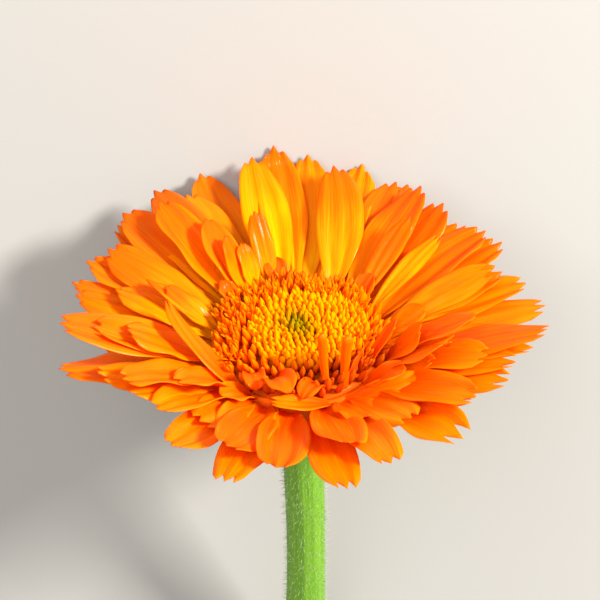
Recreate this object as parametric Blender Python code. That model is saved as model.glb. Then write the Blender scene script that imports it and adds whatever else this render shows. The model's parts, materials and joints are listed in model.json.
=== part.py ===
"""A cut calendula flower lying on its side: a thick stem, a cup of green bracts, a double bloom of
orange ray petals with three-toothed tips, and a disc of open florets round closed buds.

The pieces are worked out in the flower's own frame, then laid down. In that frame the origin is
the middle of the ring that the ray petals grow from, +Z leaves the bloom's face, and -Y is the
side that faces up once the flower lies down, so that +Y is the side that rests. Heights are along
the flower's axis."""

import math

import bmesh
import bpy
import numpy as np
from mathutils import Matrix, Vector

MM = 0.001
GOLDEN_ANGLE = math.radians(137.50776)
SEED = 7
SEAT_GAP = 0.3 * MM
HEAD_SIDES = 26

# Stem, with the cup it widens into and the boss in the cup that carries the disc
STEM_RADIUS = 2.95 * MM
STEM_LENGTH = 76.0 * MM
STEM_BOW = 0.9 * MM
STEM_SIDES = 16
STEM_RINGS = 9
NECK_HEIGHT = -9.5 * MM
CUP_RADIUS = 9.8 * MM
CUP_TOP = -2.9 * MM
CUP_RINGS = 5
CUP_FULLNESS = 0.8
BOSS_RADIUS = 7.4 * MM
BOSS_TOP = 0.4 * MM

# Bracts, the narrow green leaves in two rows round the cup. The outline gives a bract's width at
# each share of its length.
BRACT_COUNT = 26
BRACT_LENGTH = 11.5 * MM
BRACT_SHORTER = 0.08
BRACT_WIDTH = 3.0 * MM
BRACT_THICKNESS = 0.75 * MM
BRACT_OUTLINE = ((0.0, 0.8), (0.3, 1.0), (0.7, 0.6))
BRACT_RISE = math.radians(20.0)
BRACT_ARCH = math.radians(10.0)
BRACT_ROOT_RADIUS = 9.9 * MM
BRACT_ROOT_HEIGHT = -5.3 * MM
BRACT_ROW_STEP = 0.55 * MM
BRACT_RING_RADIUS = 10.9 * MM
BRACT_RING_BOTTOM = -6.4 * MM
BRACT_RING_EDGE = -5.6 * MM
BRACT_RING_TOP = -3.5 * MM

# The ring that the ray petals grow from: a flat part under the disc, and a lip round it
RAY_RING_RADIUS = 12.2 * MM
RAY_RING_TOP = 0.4 * MM
RAY_RING_LIP = ((12.8, 0.3), (12.5, 1.0), (11.75, 1.0))

# The ray petals, from the flattest to the steepest. Each has its tip's direction round the disc in
# degrees, how far that tip reaches from the axis and stands above the ring, and the petal's width
# (all in millimetres), then its twist and, from the tip, its root's direction, in degrees. Each
# scatter is the most that a petal's own draw adds or takes away.
RAYS = (
    (62, 33.8, 5.0, 6.2, 0, 0),
    (6, 35.2, 5.5, 5.6, 15, 0),
    (114, 34.8, 5.5, 7.4, 0, 0),
    (142, 34.0, 5.3, 6.6, 0, 0),
    (-162, 35.2, 6.1, 6.8, 0, 0),
    (-80, 34.5, 6.2, 7.0, 0, 0),
    (13, 33.2, 6.0, 6.8, 0, 0),
    (74, 33.6, 6.3, 7.0, 0, 0),
    (40, 31.6, 5.6, 6.6, 0, 0),
    (167, 33.5, 6.3, 6.4, 10, 0),
    (-108, 34.5, 6.9, 7.0, 0, 0),
    (160, 32.8, 6.6, 6.6, 0, 0),
    (64, 32.2, 6.5, 6.4, 15, 0),
    (172, 32.3, 6.6, 6.2, 0, 0),
    (28, 33.0, 6.9, 6.6, 0, 0),
    (129, 34.0, 7.3, 6.8, 0, 0),
    (-44, 32.0, 6.6, 7.4, 0, 0),
    (135, 32.3, 6.7, 6.6, 0, 0),
    (122, 31.6, 6.5, 7.0, 0, 0),
    (48, 31.5, 6.8, 7.2, 0, 0),
    (-123, 32.5, 7.3, 7.6, 0, 0),
    (-67, 32.0, 7.2, 7.0, 0, 0),
    (18, 30.5, 6.6, 6.6, 0, 0),
    (88, 33.0, 7.8, 6.8, 0, 0),
    (142, 32.0, 7.4, 7.0, 0, 0),
    (-25, 32.0, 7.5, 6.6, 0, 0),
    (96, 34.0, 8.4, 7.0, 0, 0),
    (-156, 31.0, 7.2, 6.2, 0, 0),
    (-105, 20.5, 2.8, 6.8, 0, 0),
    (-37, 29.0, 6.5, 6.8, 0, 0),
    (-95, 31.0, 7.5, 7.2, 0, 0),
    (-14, 33.6, 8.6, 6.6, 0, 0),
    (-20, 32.2, 8.0, 6.0, 25, 0),
    (-114, 24.0, 4.6, 8.0, -10, 0),
    (31, 31.3, 8.3, 7.0, -10, 0),
    (156, 30.5, 8.2, 6.8, 0, 0),
    (55, 31.0, 8.5, 7.0, 0, 0),
    (-110, 30.0, 8.1, 7.6, 0, 0),
    (-124, 25.0, 5.8, 7.0, 0, 0),
    (-146, 28.5, 7.8, 6.2, 0, 0),
    (103, 31.6, 9.6, 7.2, 0, 0),
    (-38, 31.0, 9.3, 6.4, 15, 0),
    (-13, 35.5, 11.8, 6.6, 0, 0),
    (-53, 25.5, 6.6, 7.0, 0, 0),
    (-76, 28.6, 8.4, 7.6, 0, 0),
    (169, 26.7, 7.4, 6.6, 12, 0),
    (16, 28.5, 8.5, 5.0, 60, 0),
    (-62, 21.0, 4.6, 6.4, 0, 0),
    (-167, 34.7, 12.7, 7.2, 0, 0),
    (-21, 28.0, 8.8, 6.6, 0, 0),
    (-137, 27.0, 8.3, 6.6, 0, 0),
    (-148, 29.0, 9.6, 6.6, 0, 0),
    (135, 29.2, 9.9, 6.8, -8, 0),
    (-167, 30.0, 10.6, 6.6, 0, 0),
    (-30, 20.5, 4.8, 4.2, 30, -33),
    (80, 28.6, 10.4, 7.0, 0, -12),
    (36, 25.0, 8.9, 3.2, 10, 0),
    (-27, 21.0, 6.3, 6.2, 0, 0),
    (164, 23.0, 7.9, 4.6, 25, 0),
    (-165, 25.2, 10.1, 6.6, 0, 0),
    (-140, 22.0, 7.6, 6.4, 0, 0),
    (12, 18.2, 4.9, 3.4, 45, 0),
    (48, 24.0, 9.9, 3.6, 0, 0),
    (-13, 25.5, 11.7, 6.0, 0, 0),
    (-15, 22.6, 9.1, 3.6, 0, 0),
    (128, 22.5, 9.1, 5.4, 30, 0),
    (164, 20.0, 7.0, 5.0, 0, 0),
    (-26, 23.0, 10.7, 5.6, -20, 0),
    (109, 20.5, 9.3, 3.4, 0, 0),
    (-106, 15.2, 4.0, 3.4, 10, 38),
    (180, 18.8, 9.8, 5.0, 55, 48),
    (120, 17.0, 7.4, 3.2, 20, 0),
    (126, 18.0, 9.0, 4.0, 45, 0),
    (-15, 18.0, 9.0, 5.2, 0, 0),
)
RAY_ROOT_RADIUS = 11.2 * MM
RAY_ROOT_SPREAD = 1.3 * MM
RAY_ROOT_LOW = -1.9 * MM
RAY_ROOT_HIGH = 0.5 * MM
FLATTEST = math.radians(12.0)
STEEPEST = math.radians(38.0)
RAY_THICKNESS = 0.75 * MM
RAY_ARCH = math.radians(11.0)
RAY_ROOT_ROLL = 1.15
RAY_TIP_ROLL = 0.0
ARCH_SCATTER = math.radians(6.0)
SWAY_SCATTER = math.radians(8.0)
MOST_SWAY = math.radians(35.0)
TWIST_SCATTER = math.radians(16.0)
TIP_ROLL_SCATTER = 0.6

# A petal's outline, as shares of its length or of its half width
WIDEST_AT = 0.56
ROOT_SHARE = 0.3
TIP_LOSS = 0.54
TIP_ROUNDING = 2.4
TOOTH_PITCH = 0.72
TOOTH_DEPTH = 0.045
BLADE_ROWS = (0.0, 0.25, 0.56, 0.86)
SPINE_STEPS = 25

# Short petals between the rays and the disc. Each has its direction round the disc, how far aside
# of that direction it points, its rise and how far it curls outwards (all in degrees), and its
# length and width in millimetres. The rim petals grow from the rays' ring, and the curled ones from
# the disc's edge, on the side that faces up.
RIM_PETALS = (
    (104, 0, 60, 40, 5.2, 3.6),
    (139, 0, 64, 20, 4.8, 3.0),
    (48, 0, 62, 30, 5.0, 3.4),
    (-34, 25, 70, -4, 13.5, 2.8),
)
RIM_PETAL_RADIUS = 12.3 * MM
CURLED_PETALS = (
    (-125, -10, 104, 160, 6.6, 4.4),
    (-104, 15, 104, 150, 8.0, 5.8),
    (-72, 10, 100, 140, 6.2, 5.0),
    (-60, 30, 84, 10, 7.4, 3.2),
)
CURLED_PETAL_RADIUS = 10.7 * MM
CURLED_PETAL_HEIGHT = 1.15 * MM
SHORT_ROOT_ROLL = 1.5
SHORT_TIP_ROLL = 0.7

# Disc: a low dome of closed buds, and a ring of open florets round it
DISC_RADIUS = 11.4 * MM
DISC_TOP = 4.2 * MM
DISC_FALL = 3.0 * MM
DISC_UNDERCUT = 2.3 * MM
DISC_EDGE = 0.6 * MM
ROOT_DEPTH = 0.3 * MM
BUD_RADIUS = 7.0 * MM
BUD_COUNT = 55
BUD_LENGTH = 2.3 * MM
BUD_THICKNESS = 0.62 * MM
BUD_INNER_SIZE = 0.6
DOME_RINGS = 3
FLORET_COUNT = 68
FLORET_LENGTH = 3.2 * MM
FLORET_THICKNESS = 0.42 * MM
FLORET_SWELL = 1.4
FLORET_LEAN = 0.15

# Quills, the petals rolled up into tubes that stand among the florets. Each has its direction
# round the disc in degrees, and its reach from the axis, length and radius in millimetres.
QUILLS = ((-69, 9.7, 10.0, 0.68), (-57, 10.6, 10.2, 0.85))
QUILL_LEAN = 0.03
QUILL_SIDES = 6

# The surface that the flower rests on. The middle sheet of a petal bends from SOFT_HEIGHT above it
# down to RESTING_HEIGHT, so that the underside of a resting tip is pressed flat.
REST_REACH = 31.9 * MM
REST_HEIGHT = 6.6 * MM
SOFT_HEIGHT = 1.4 * MM
RESTING_HEIGHT = 0.2 * MM
REST_TILT = math.atan2(REST_REACH - STEM_RADIUS, REST_HEIGHT + STEM_LENGTH)

# Colours, as linear values
PETAL_ORANGE = (1.0, 0.24, 0.005)
FLORET_ORANGE = (0.95, 0.2, 0.01)
BUD_GOLD = (1.0, 0.42, 0.01)
BRACT_GREEN = (0.13, 0.33, 0.04)
STEM_GREEN = (0.19, 0.42, 0.07)


def laid_down():
    """The matrix from the flower's frame to the surface it lies on, which is z = 0."""
    sine = math.sin(REST_TILT)
    cosine = math.cos(REST_TILT)
    turn = Matrix(((1, 0, 0), (0, sine, cosine), (0, -cosine, sine))).to_4x4()
    stem_end = turn @ Vector((0, STEM_RADIUS, -STEM_LENGTH))
    return Matrix.Translation((0, 0, -stem_end.z)) @ turn


LAID = np.array(laid_down())


def placed(points):
    """Points of the flower's frame as points above the surface."""
    return np.asarray(points) @ LAID[:3, :3].T + LAID[:3, 3]


def turned(directions):
    return np.asarray(directions) @ LAID[:3, :3].T


def unit(vectors):
    return vectors / np.linalg.norm(vectors, axis=-1, keepdims=True)


def polar(angle, radius, height):
    return np.array([radius * math.cos(angle), radius * math.sin(angle), height])


def kept_above(points):
    """Points near the surface bent to lie along it, moved forward by the height they lose."""
    height = points[:, 2]
    depth = SOFT_HEIGHT - RESTING_HEIGHT
    eased = RESTING_HEIGHT + depth * np.exp((np.minimum(height, SOFT_HEIGHT) - SOFT_HEIGHT) / depth)
    lifted = np.where(height < SOFT_HEIGHT, eased - height, 0.0)
    return points + np.stack([0 * lifted, lifted, lifted], axis=1)


def petal_spine(petal):
    """Points down the middle of a petal, and the direction across it at each."""
    share = np.linspace(0, 1, SPINE_STEPS)
    heading = petal["heading"] + petal["sway"] * share**2
    rise = petal["rise"] - petal["arch"] * share**1.3
    outward = np.stack([np.cos(heading), np.sin(heading), 0 * heading], axis=1)
    forward = outward * np.cos(rise)[:, None]
    forward[:, 2] = np.sin(rise)
    steps = (forward[1:] + forward[:-1]) / 2 * petal["length"] / (SPINE_STEPS - 1)
    root = polar(petal["azimuth"], petal["root_radius"], petal["root_height"])
    points = root + np.vstack([np.zeros(3), np.cumsum(steps, axis=0)])
    across = np.stack([-np.sin(heading), np.cos(heading), 0 * heading], axis=1)
    return share, kept_above(placed(points)), turned(across)


def half_width(petal, along):
    """Half of a petal's width, which grows from its narrow root and closes a little to its tip."""
    growing = np.sin(np.pi / 2 * np.clip(along / WIDEST_AT, 0, 1)) ** 1.3
    closing = np.clip((along - WIDEST_AT) / (1 - WIDEST_AT), 0, 1) ** TIP_ROUNDING
    return petal["width"] / 2 * (ROOT_SHARE + (1 - ROOT_SHARE) * growing - TIP_LOSS * closing)


def petal_points(petal, along, across, lift):
    """Points on a petal: along is 0 at its root and 1 at its tip, across runs from -1 to 1, and
    lift is the height above its middle sheet. Across, a petal is rolled to an arc."""
    share, spine, side = petal_spine(petal)
    forward = unit(np.gradient(spine, axis=0))
    up = unit(np.cross(forward, side))
    side = np.cross(up, forward)
    point, side, up = (
        np.stack([np.interp(along, share, values[:, k]) for k in range(3)], axis=-1)
        for values in (spine, side, up)
    )
    twist = (petal["twist"] * along)[..., None]
    side, up = side * np.cos(twist) + up * np.sin(twist), up * np.cos(twist) - side * np.sin(twist)
    half = half_width(petal, along)
    roll = petal["root_roll"] + (petal["tip_roll"] - petal["root_roll"]) * along**0.7
    turn = roll * across
    flat = half * across * np.sinc(turn / np.pi) - lift * np.sin(turn)
    risen = half * turn * across / 2 * np.sinc(turn / (2 * np.pi)) ** 2 + lift * np.cos(turn)
    return point + side * flat[..., None] + up * risen[..., None]


def ray_layout():
    """The ray petals, each worked out from its tip back to its root in the ring."""
    draw = np.random.RandomState(SEED)
    rays = []
    for azimuth, reach, height, width, twist, shift in RAYS:
        jitter = draw.uniform(-1, 1, 4)
        steepness = math.atan2(height * MM - RAY_ROOT_LOW, reach * MM - RAY_ROOT_RADIUS)
        share = min(max((steepness - FLATTEST) / (STEEPEST - FLATTEST), 0), 1)
        root_radius = RAY_ROOT_RADIUS + RAY_ROOT_SPREAD * share
        root_height = RAY_ROOT_LOW + (RAY_ROOT_HIGH - RAY_ROOT_LOW) * share
        root_azimuth = math.radians(azimuth + shift)
        chord = polar(math.radians(azimuth), reach * MM, 0) - polar(root_azimuth, root_radius, 0)
        towards = math.atan2(chord[1], chord[0])
        turning = (towards - root_azimuth + math.pi) % (2 * math.pi) - math.pi
        sway = min(max(1.5 * turning, -MOST_SWAY), MOST_SWAY) + SWAY_SCATTER * jitter[1]
        run = math.hypot(chord[0], chord[1])
        climb = height * MM - root_height
        arch = RAY_ARCH + ARCH_SCATTER * jitter[0]
        rays.append(
            {
                "azimuth": root_azimuth,
                "heading": towards - sway / 3,
                "rise": math.atan2(climb, run) + arch / 2.3,
                "arch": arch,
                "length": math.hypot(run, climb) * (1 + arch**2 / 24 + sway**2 / 24),
                "width": width * MM,
                "sway": sway,
                "twist": math.radians(twist) + TWIST_SCATTER * jitter[2],
                "root_roll": RAY_ROOT_ROLL,
                "tip_roll": RAY_TIP_ROLL + TIP_ROLL_SCATTER * jitter[3],
                "root_radius": root_radius,
                "root_height": root_height,
            }
        )
    return rays


def short_petals(rows, radius, height):
    """Short steep petals that grow on a circle of this radius and height."""
    return [
        {
            "azimuth": math.radians(azimuth),
            "heading": math.radians(azimuth + aside),
            "rise": math.radians(rise),
            "arch": math.radians(curl),
            "length": length * MM,
            "width": width * MM,
            "sway": 0.0,
            "twist": 0.0,
            "root_roll": SHORT_ROOT_ROLL,
            "tip_roll": SHORT_TIP_ROLL,
            "root_radius": radius,
            "root_height": height,
        }
        for azimuth, aside, rise, curl, length, width in rows
    ]


def material(name, colour, roughness):
    made = bpy.data.materials.new(name)
    made.use_nodes = True
    shader = made.node_tree.nodes["Principled BSDF"]
    shader.inputs["Base Color"].default_value = (*colour, 1)
    shader.inputs["Roughness"].default_value = roughness
    shader.inputs["Metallic"].default_value = 0.0
    made.diffuse_color = (*colour, 1)
    return made


def solid(name, points, faces, finish=None):
    mesh = bpy.data.meshes.new(name)
    mesh.from_pydata([tuple(p) for p in np.asarray(points)], [], faces)
    made = bpy.data.objects.new(name, mesh)
    bpy.context.scene.collection.objects.link(made)
    if finish:
        mesh.materials.append(finish)
    return made


def circle(radius, height, sides):
    return [polar(2 * math.pi * j / sides, radius, height) for j in range(sides)]


def wall_between(low, high, sides):
    """The faces between two circles of points, given each one's first index."""
    return [
        (low + j, low + (j + 1) % sides, high + (j + 1) % sides, high + j) for j in range(sides)
    ]


def turned_dome(name, profile, sides, finish):
    """A closed solid turned about the flower's axis. The profile runs up, and its last point is on
    the axis."""
    points = [point for radius, height in profile[:-1] for point in circle(radius, height, sides)]
    points.append((0, 0, profile[-1][1]))
    faces = [tuple(reversed(range(sides)))]
    for ring in range(len(profile) - 2):
        faces += wall_between(ring * sides, (ring + 1) * sides, sides)
    last = (len(profile) - 2) * sides
    faces += [(last + j, last + (j + 1) % sides, last + sides) for j in range(sides)]
    return solid(name, placed(points), faces, finish)


def turned_ring(name, profile, sides, finish):
    """A ring turned about the flower's axis. The profile is a loop, anticlockwise with radius right."""
    points = [point for radius, height in profile for point in circle(radius, height, sides)]
    faces = []
    for k in range(len(profile)):
        faces += wall_between(k * sides, (k + 1) % len(profile) * sides, sides)
    return solid(name, placed(points), faces, finish)


def one_body(made):
    """Keeps the largest shell of a mesh, so that sealed hollows are filled and loose scraps dropped."""
    shape = bmesh.new()
    shape.from_mesh(made.data)
    unseen = set(shape.faces)
    shells = []
    while unseen:
        shell, frontier = set(), [unseen.pop()]
        while frontier:
            face = frontier.pop()
            shell.add(face)
            near = {other for edge in face.edges for other in edge.link_faces} & unseen
            unseen -= near
            frontier += near
        shells.append(shell)
    shells.sort(key=len)
    scraps = [face for shell in shells[:-1] for face in shell]
    bmesh.ops.delete(shape, geom=scraps, context="FACES")
    shape.to_mesh(made.data)
    shape.free()
    return made


def fused(base, pieces):
    """The base and its pieces as one body, by one Boolean union."""
    group = bpy.data.collections.new(base.name + "_pieces")
    bpy.context.scene.collection.children.link(group)
    for piece in pieces:
        group.objects.link(piece)
        bpy.context.scene.collection.objects.unlink(piece)
    union = base.modifiers.new("fused", "BOOLEAN")
    union.operation = "UNION"
    union.operand_type = "COLLECTION"
    union.collection = group
    union.solver = "MANIFOLD"
    bpy.context.view_layer.objects.active = base
    bpy.ops.object.modifier_apply(modifier=union.name)
    for piece in pieces:
        bpy.data.meshes.remove(piece.data)
    bpy.data.collections.remove(group)
    return one_body(base)


def with_faces_out(made):
    shape = bmesh.new()
    shape.from_mesh(made.data)
    bmesh.ops.recalc_face_normals(shape, faces=shape.faces)
    shape.to_mesh(made.data)
    shape.free()
    return made


def blade(name, petal):
    """A petal as a closed blade of even thickness with a three-toothed tip. It has three points
    across at each row and five at the tip, and is triangled alike on both of its faces."""
    stations = [(row, side) for row in BLADE_ROWS for side in (-1.0, 0.0, 1.0)]
    for k in range(-2, 3):
        stations.append((1.0 - TOOTH_DEPTH * (k % 2), k / 2 * TOOTH_PITCH))
    along, across = np.array(stations).T
    top = petal_points(petal, along, across, RAY_THICKNESS / 2)
    bottom = petal_points(petal, along, across, -RAY_THICKNESS / 2)
    sheet = []
    for row in range(len(BLADE_ROWS) - 1):
        for a in (3 * row, 3 * row + 1):
            sheet += [(a, a + 3, a + 4), (a, a + 4, a + 1)]
    left, middle, right = (3 * len(BLADE_ROWS) - 3 + k for k in range(3))
    tip = list(range(3 * len(BLADE_ROWS), len(stations)))
    sheet += [(middle, a, b) for a, b in zip([left, *tip], [*tip, right])]
    left_edge = [3 * row for row in range(len(BLADE_ROWS))]
    right_edge = [point + 2 for point in reversed(left_edge)]
    rim = left_edge + tip + right_edge + [1]
    count = len(stations)
    faces = [tuple(reversed(face)) for face in sheet]
    faces += [tuple(count + k for k in face) for face in sheet]
    for a, b in zip(rim, rim[1:] + rim[:1]):
        faces += [(a, b, count + b), (a, count + b, count + a)]
    return with_faces_out(solid(name, np.vstack([top, bottom]), faces))


def pressed_flat(made):
    """What reaches below the surface is cut away, which leaves a flat spot on each resting tip."""
    shape = bmesh.new()
    shape.from_mesh(made.data)
    bmesh.ops.bisect_plane(
        shape,
        geom=shape.verts[:] + shape.edges[:] + shape.faces[:],
        plane_co=(0, 0, 0),
        plane_no=(0, 0, 1),
        clear_inner=True,
    )
    bmesh.ops.holes_fill(shape, edges=[edge for edge in shape.edges if edge.is_boundary], sides=0)
    shape.to_mesh(made.data)
    shape.free()
    return one_body(made)


def ray_petals():
    finish = material("petal_orange", PETAL_ORANGE, 0.5)
    inner = BOSS_RADIUS + SEAT_GAP
    bottom = CUP_TOP + SEAT_GAP
    profile = [
        (inner, bottom),
        (RAY_RING_RADIUS, bottom),
        *((radius * MM, height * MM) for radius, height in RAY_RING_LIP),
        (DISC_RADIUS + SEAT_GAP, RAY_RING_TOP),
        (inner, RAY_RING_TOP),
    ]
    ring = turned_ring("ray_petals", profile, HEAD_SIDES, finish)
    petals = ray_layout() + short_petals(RIM_PETALS, RIM_PETAL_RADIUS, RAY_ROOT_HIGH)
    return pressed_flat(fused(ring, [blade(f"petal_{i}", petal) for i, petal in enumerate(petals)]))


def peg(name, root, lean, length, radius, swell, shoulder, sides=4):
    """A floret, bud or quill of few sides: it swells from its root to its shoulder, a share of its
    length, and closes to a point."""
    up = unit(np.array(lean))
    side = unit(np.cross(up, (0.3, 1.0, 0.1)))
    other = np.cross(up, side)
    points = []
    for radius_here, height in ((radius, 0.0), (radius * swell, length * shoulder)):
        for j in range(sides):
            angle = 2 * math.pi * j / sides
            across = side * math.cos(angle) + other * math.sin(angle)
            points.append(root + up * height + across * radius_here)
    points.append(root + up * length)
    faces = [tuple(reversed(range(sides)))] + wall_between(0, sides, sides)
    faces += [(sides + j, sides + (j + 1) % sides, 2 * sides) for j in range(sides)]
    return solid(name, placed(points), faces)


def disc_height(radius):
    """The disc's surface: a low dome that falls away to its rim."""
    return DISC_TOP - DISC_FALL * (radius / DISC_RADIUS) ** 2


def closed_buds():
    finish = material("bud_gold", BUD_GOLD, 0.45)
    profile = [(BUD_RADIUS, BOSS_TOP + SEAT_GAP)]
    for ring in range(DOME_RINGS, -1, -1):
        radius = BUD_RADIUS * ring / DOME_RINGS
        profile.append((radius, disc_height(radius)))
    dome = turned_dome("closed_buds", profile, HEAD_SIDES, finish)
    buds = []
    for i in range(BUD_COUNT):
        reach = (BUD_RADIUS - BUD_THICKNESS - ROOT_DEPTH) * math.sqrt((i + 0.5) / BUD_COUNT)
        size = BUD_INNER_SIZE + (1 - BUD_INNER_SIZE) * reach / BUD_RADIUS
        root = polar(i * GOLDEN_ANGLE, reach, disc_height(reach) - ROOT_DEPTH)
        buds.append(peg(f"bud_{i}", root, (0, 0, 1), BUD_LENGTH * size, BUD_THICKNESS, 1.0, 0.6))
    return fused(dome, buds)


def open_florets():
    finish = material("floret_orange", FLORET_ORANGE, 0.5)
    inner = BUD_RADIUS + SEAT_GAP
    base = BOSS_TOP + SEAT_GAP
    rim = disc_height(DISC_RADIUS)
    profile = [
        (inner, base),
        (DISC_RADIUS - DISC_UNDERCUT, base),
        (DISC_RADIUS, rim - ROOT_DEPTH),
        (DISC_RADIUS, rim),
        (inner, disc_height(inner)),
    ]
    ring = turned_ring("open_florets", profile, HEAD_SIDES, finish)
    pieces = []
    first = (inner + FLORET_THICKNESS * FLORET_SWELL) ** 2
    last = (DISC_RADIUS - DISC_EDGE) ** 2
    for i in range(FLORET_COUNT):
        reach = math.sqrt(first + (last - first) * (i + 0.5) / FLORET_COUNT)
        angle = i * GOLDEN_ANGLE
        root = polar(angle, reach, disc_height(reach) - ROOT_DEPTH)
        lean = polar(angle, FLORET_LEAN * (reach - inner) / (DISC_RADIUS - inner), 1)
        pieces.append(
            peg(f"floret_{i}", root, lean, FLORET_LENGTH, FLORET_THICKNESS, FLORET_SWELL, 0.8)
        )
    for azimuth, reach, length, radius in QUILLS:
        angle = math.radians(azimuth)
        root = polar(angle, reach * MM, rim - ROOT_DEPTH)
        lean = polar(angle, QUILL_LEAN, 1)
        pieces.append(
            peg(f"quill_{azimuth}", root, lean, length * MM, radius * MM, 1.1, 0.94, QUILL_SIDES)
        )
    curled = short_petals(CURLED_PETALS, CURLED_PETAL_RADIUS, CURLED_PETAL_HEIGHT)
    pieces += [blade(f"curled_{i}", petal) for i, petal in enumerate(curled)]
    return fused(ring, pieces)


def bract(i):
    """A bract as a closed lance-shaped blade that arches back a little to its point."""
    row = i % 2
    length = BRACT_LENGTH * (1 - BRACT_SHORTER * row)
    angle = i * 2 * math.pi / BRACT_COUNT
    across = polar(angle + math.pi / 2, 1, 0)
    through = np.array([0, 0, BRACT_THICKNESS / 2])
    root = polar(angle, BRACT_ROOT_RADIUS, BRACT_ROOT_HEIGHT + BRACT_ROW_STEP * row)

    def along(share):
        rise = BRACT_RISE - BRACT_ARCH * share / 2
        return root + share * length * polar(angle, math.cos(rise), math.sin(rise))

    points = []
    for share, width in BRACT_OUTLINE:
        half = across * width * BRACT_WIDTH / 2
        centre = along(share)
        points += [centre + through - half, centre + through + half]
        points += [centre - through + half, centre - through - half]
    points.append(along(1.0))
    faces = [(3, 2, 1, 0)]
    for station in range(len(BRACT_OUTLINE) - 1):
        faces += wall_between(4 * station, 4 * station + 4, 4)
    last = 4 * (len(BRACT_OUTLINE) - 1)
    faces += [(last + k, last + (k + 1) % 4, last + 4) for k in range(4)]
    return with_faces_out(solid(f"bract_{i}", placed(points), faces))


def cup_radius(height):
    """The green cup's outer radius at a height, from the stem's neck up to its rim."""
    share = (height - NECK_HEIGHT) / (CUP_TOP - NECK_HEIGHT)
    return STEM_RADIUS + (CUP_RADIUS - STEM_RADIUS) * math.sin(math.pi / 2 * share) ** CUP_FULLNESS


def involucre():
    finish = material("bract_green", BRACT_GREEN, 0.6)
    profile = [
        (cup_radius(BRACT_RING_BOTTOM) + SEAT_GAP, BRACT_RING_BOTTOM),
        (BRACT_RING_RADIUS, BRACT_RING_EDGE),
        (BRACT_RING_RADIUS, BRACT_RING_TOP),
        (cup_radius(BRACT_RING_TOP) + SEAT_GAP, BRACT_RING_TOP),
        (cup_radius(BRACT_ROOT_HEIGHT) + SEAT_GAP, BRACT_ROOT_HEIGHT),
    ]
    ring = turned_ring("involucre", profile, HEAD_SIDES, finish)
    return fused(ring, [bract(i) for i in range(BRACT_COUNT)])


def stem():
    """The stem with the cup it widens into, and the low boss in the cup that carries the disc."""
    finish = material("stem_green", STEM_GREEN, 0.6)
    rings = [(STEM_RADIUS, height) for height in np.linspace(-STEM_LENGTH, NECK_HEIGHT, STEM_RINGS)]
    for height in np.linspace(NECK_HEIGHT, CUP_TOP, CUP_RINGS + 1)[1:]:
        rings.append((cup_radius(height), height))
    rings += [(BOSS_RADIUS, CUP_TOP), (BOSS_RADIUS, BOSS_TOP)]
    points = []
    for radius, height in rings:
        share = min(1.0, (height + STEM_LENGTH) / (STEM_LENGTH + NECK_HEIGHT))
        bow = np.array([STEM_BOW * math.sin(math.pi * share), 0, 0])
        points += [point + bow for point in circle(radius, height, STEM_SIDES)]
    faces = [tuple(reversed(range(STEM_SIDES)))]
    for ring in range(len(rings) - 1):
        faces += wall_between(ring * STEM_SIDES, (ring + 1) * STEM_SIDES, STEM_SIDES)
    last = (len(rings) - 1) * STEM_SIDES
    faces.append(tuple(last + j for j in range(STEM_SIDES)))
    return solid("stem", placed(points), faces, finish)


def centred(pieces):
    """Moves the whole flower along the surface so that its box stands over the origin."""
    corners = np.array([vertex.co for piece in pieces for vertex in piece.data.vertices])
    middle = (corners.min(0) + corners.max(0)) / 2
    for piece in pieces:
        piece.data.transform(Matrix.Translation((-middle[0], -middle[1], 0)))


def main():
    for old in list(bpy.data.objects):
        bpy.data.objects.remove(old)
    centred([stem(), involucre(), ray_petals(), open_florets(), closed_buds()])


main()
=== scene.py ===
"""The looks of a cut calendula flower that lies on a pale floor: thin grooved ray petals with
three-toothed tips, a disc of golden buds inside open orange florets, and a hairy green stem.

Every piece is worked out in the flower's own frame and then laid down, as its solid is. In that
frame the origin is the middle of the rays' ring, +Z leaves the bloom's face, and -Y is the side
that faces up once the flower lies down."""

import json
from functools import partialmethod
from math import atan2, cos, hypot, pi, radians, sin, sqrt

import bpy
import numpy as np
from mathutils import Matrix, Vector

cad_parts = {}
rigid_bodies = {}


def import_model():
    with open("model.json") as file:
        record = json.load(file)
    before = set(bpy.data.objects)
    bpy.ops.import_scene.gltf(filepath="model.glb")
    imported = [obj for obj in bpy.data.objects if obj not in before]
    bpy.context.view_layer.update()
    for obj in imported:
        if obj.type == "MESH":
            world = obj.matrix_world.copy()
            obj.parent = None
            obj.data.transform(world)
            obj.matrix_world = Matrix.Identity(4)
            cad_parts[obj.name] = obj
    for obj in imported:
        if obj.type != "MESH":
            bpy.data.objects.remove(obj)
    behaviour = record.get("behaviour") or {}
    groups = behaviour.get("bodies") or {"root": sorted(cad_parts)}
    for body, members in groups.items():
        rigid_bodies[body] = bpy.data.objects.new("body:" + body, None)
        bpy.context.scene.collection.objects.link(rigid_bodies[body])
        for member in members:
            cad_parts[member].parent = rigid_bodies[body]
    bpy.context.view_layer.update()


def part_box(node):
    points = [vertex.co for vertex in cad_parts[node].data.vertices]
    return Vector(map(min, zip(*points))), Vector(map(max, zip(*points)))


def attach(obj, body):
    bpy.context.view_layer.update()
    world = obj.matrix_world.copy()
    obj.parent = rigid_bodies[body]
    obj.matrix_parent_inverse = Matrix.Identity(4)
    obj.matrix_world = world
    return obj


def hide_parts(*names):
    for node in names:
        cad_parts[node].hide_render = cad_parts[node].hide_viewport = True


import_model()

MM = 0.001
GOLDEN_ANGLE = radians(137.50776)
SEED = 7

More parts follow.
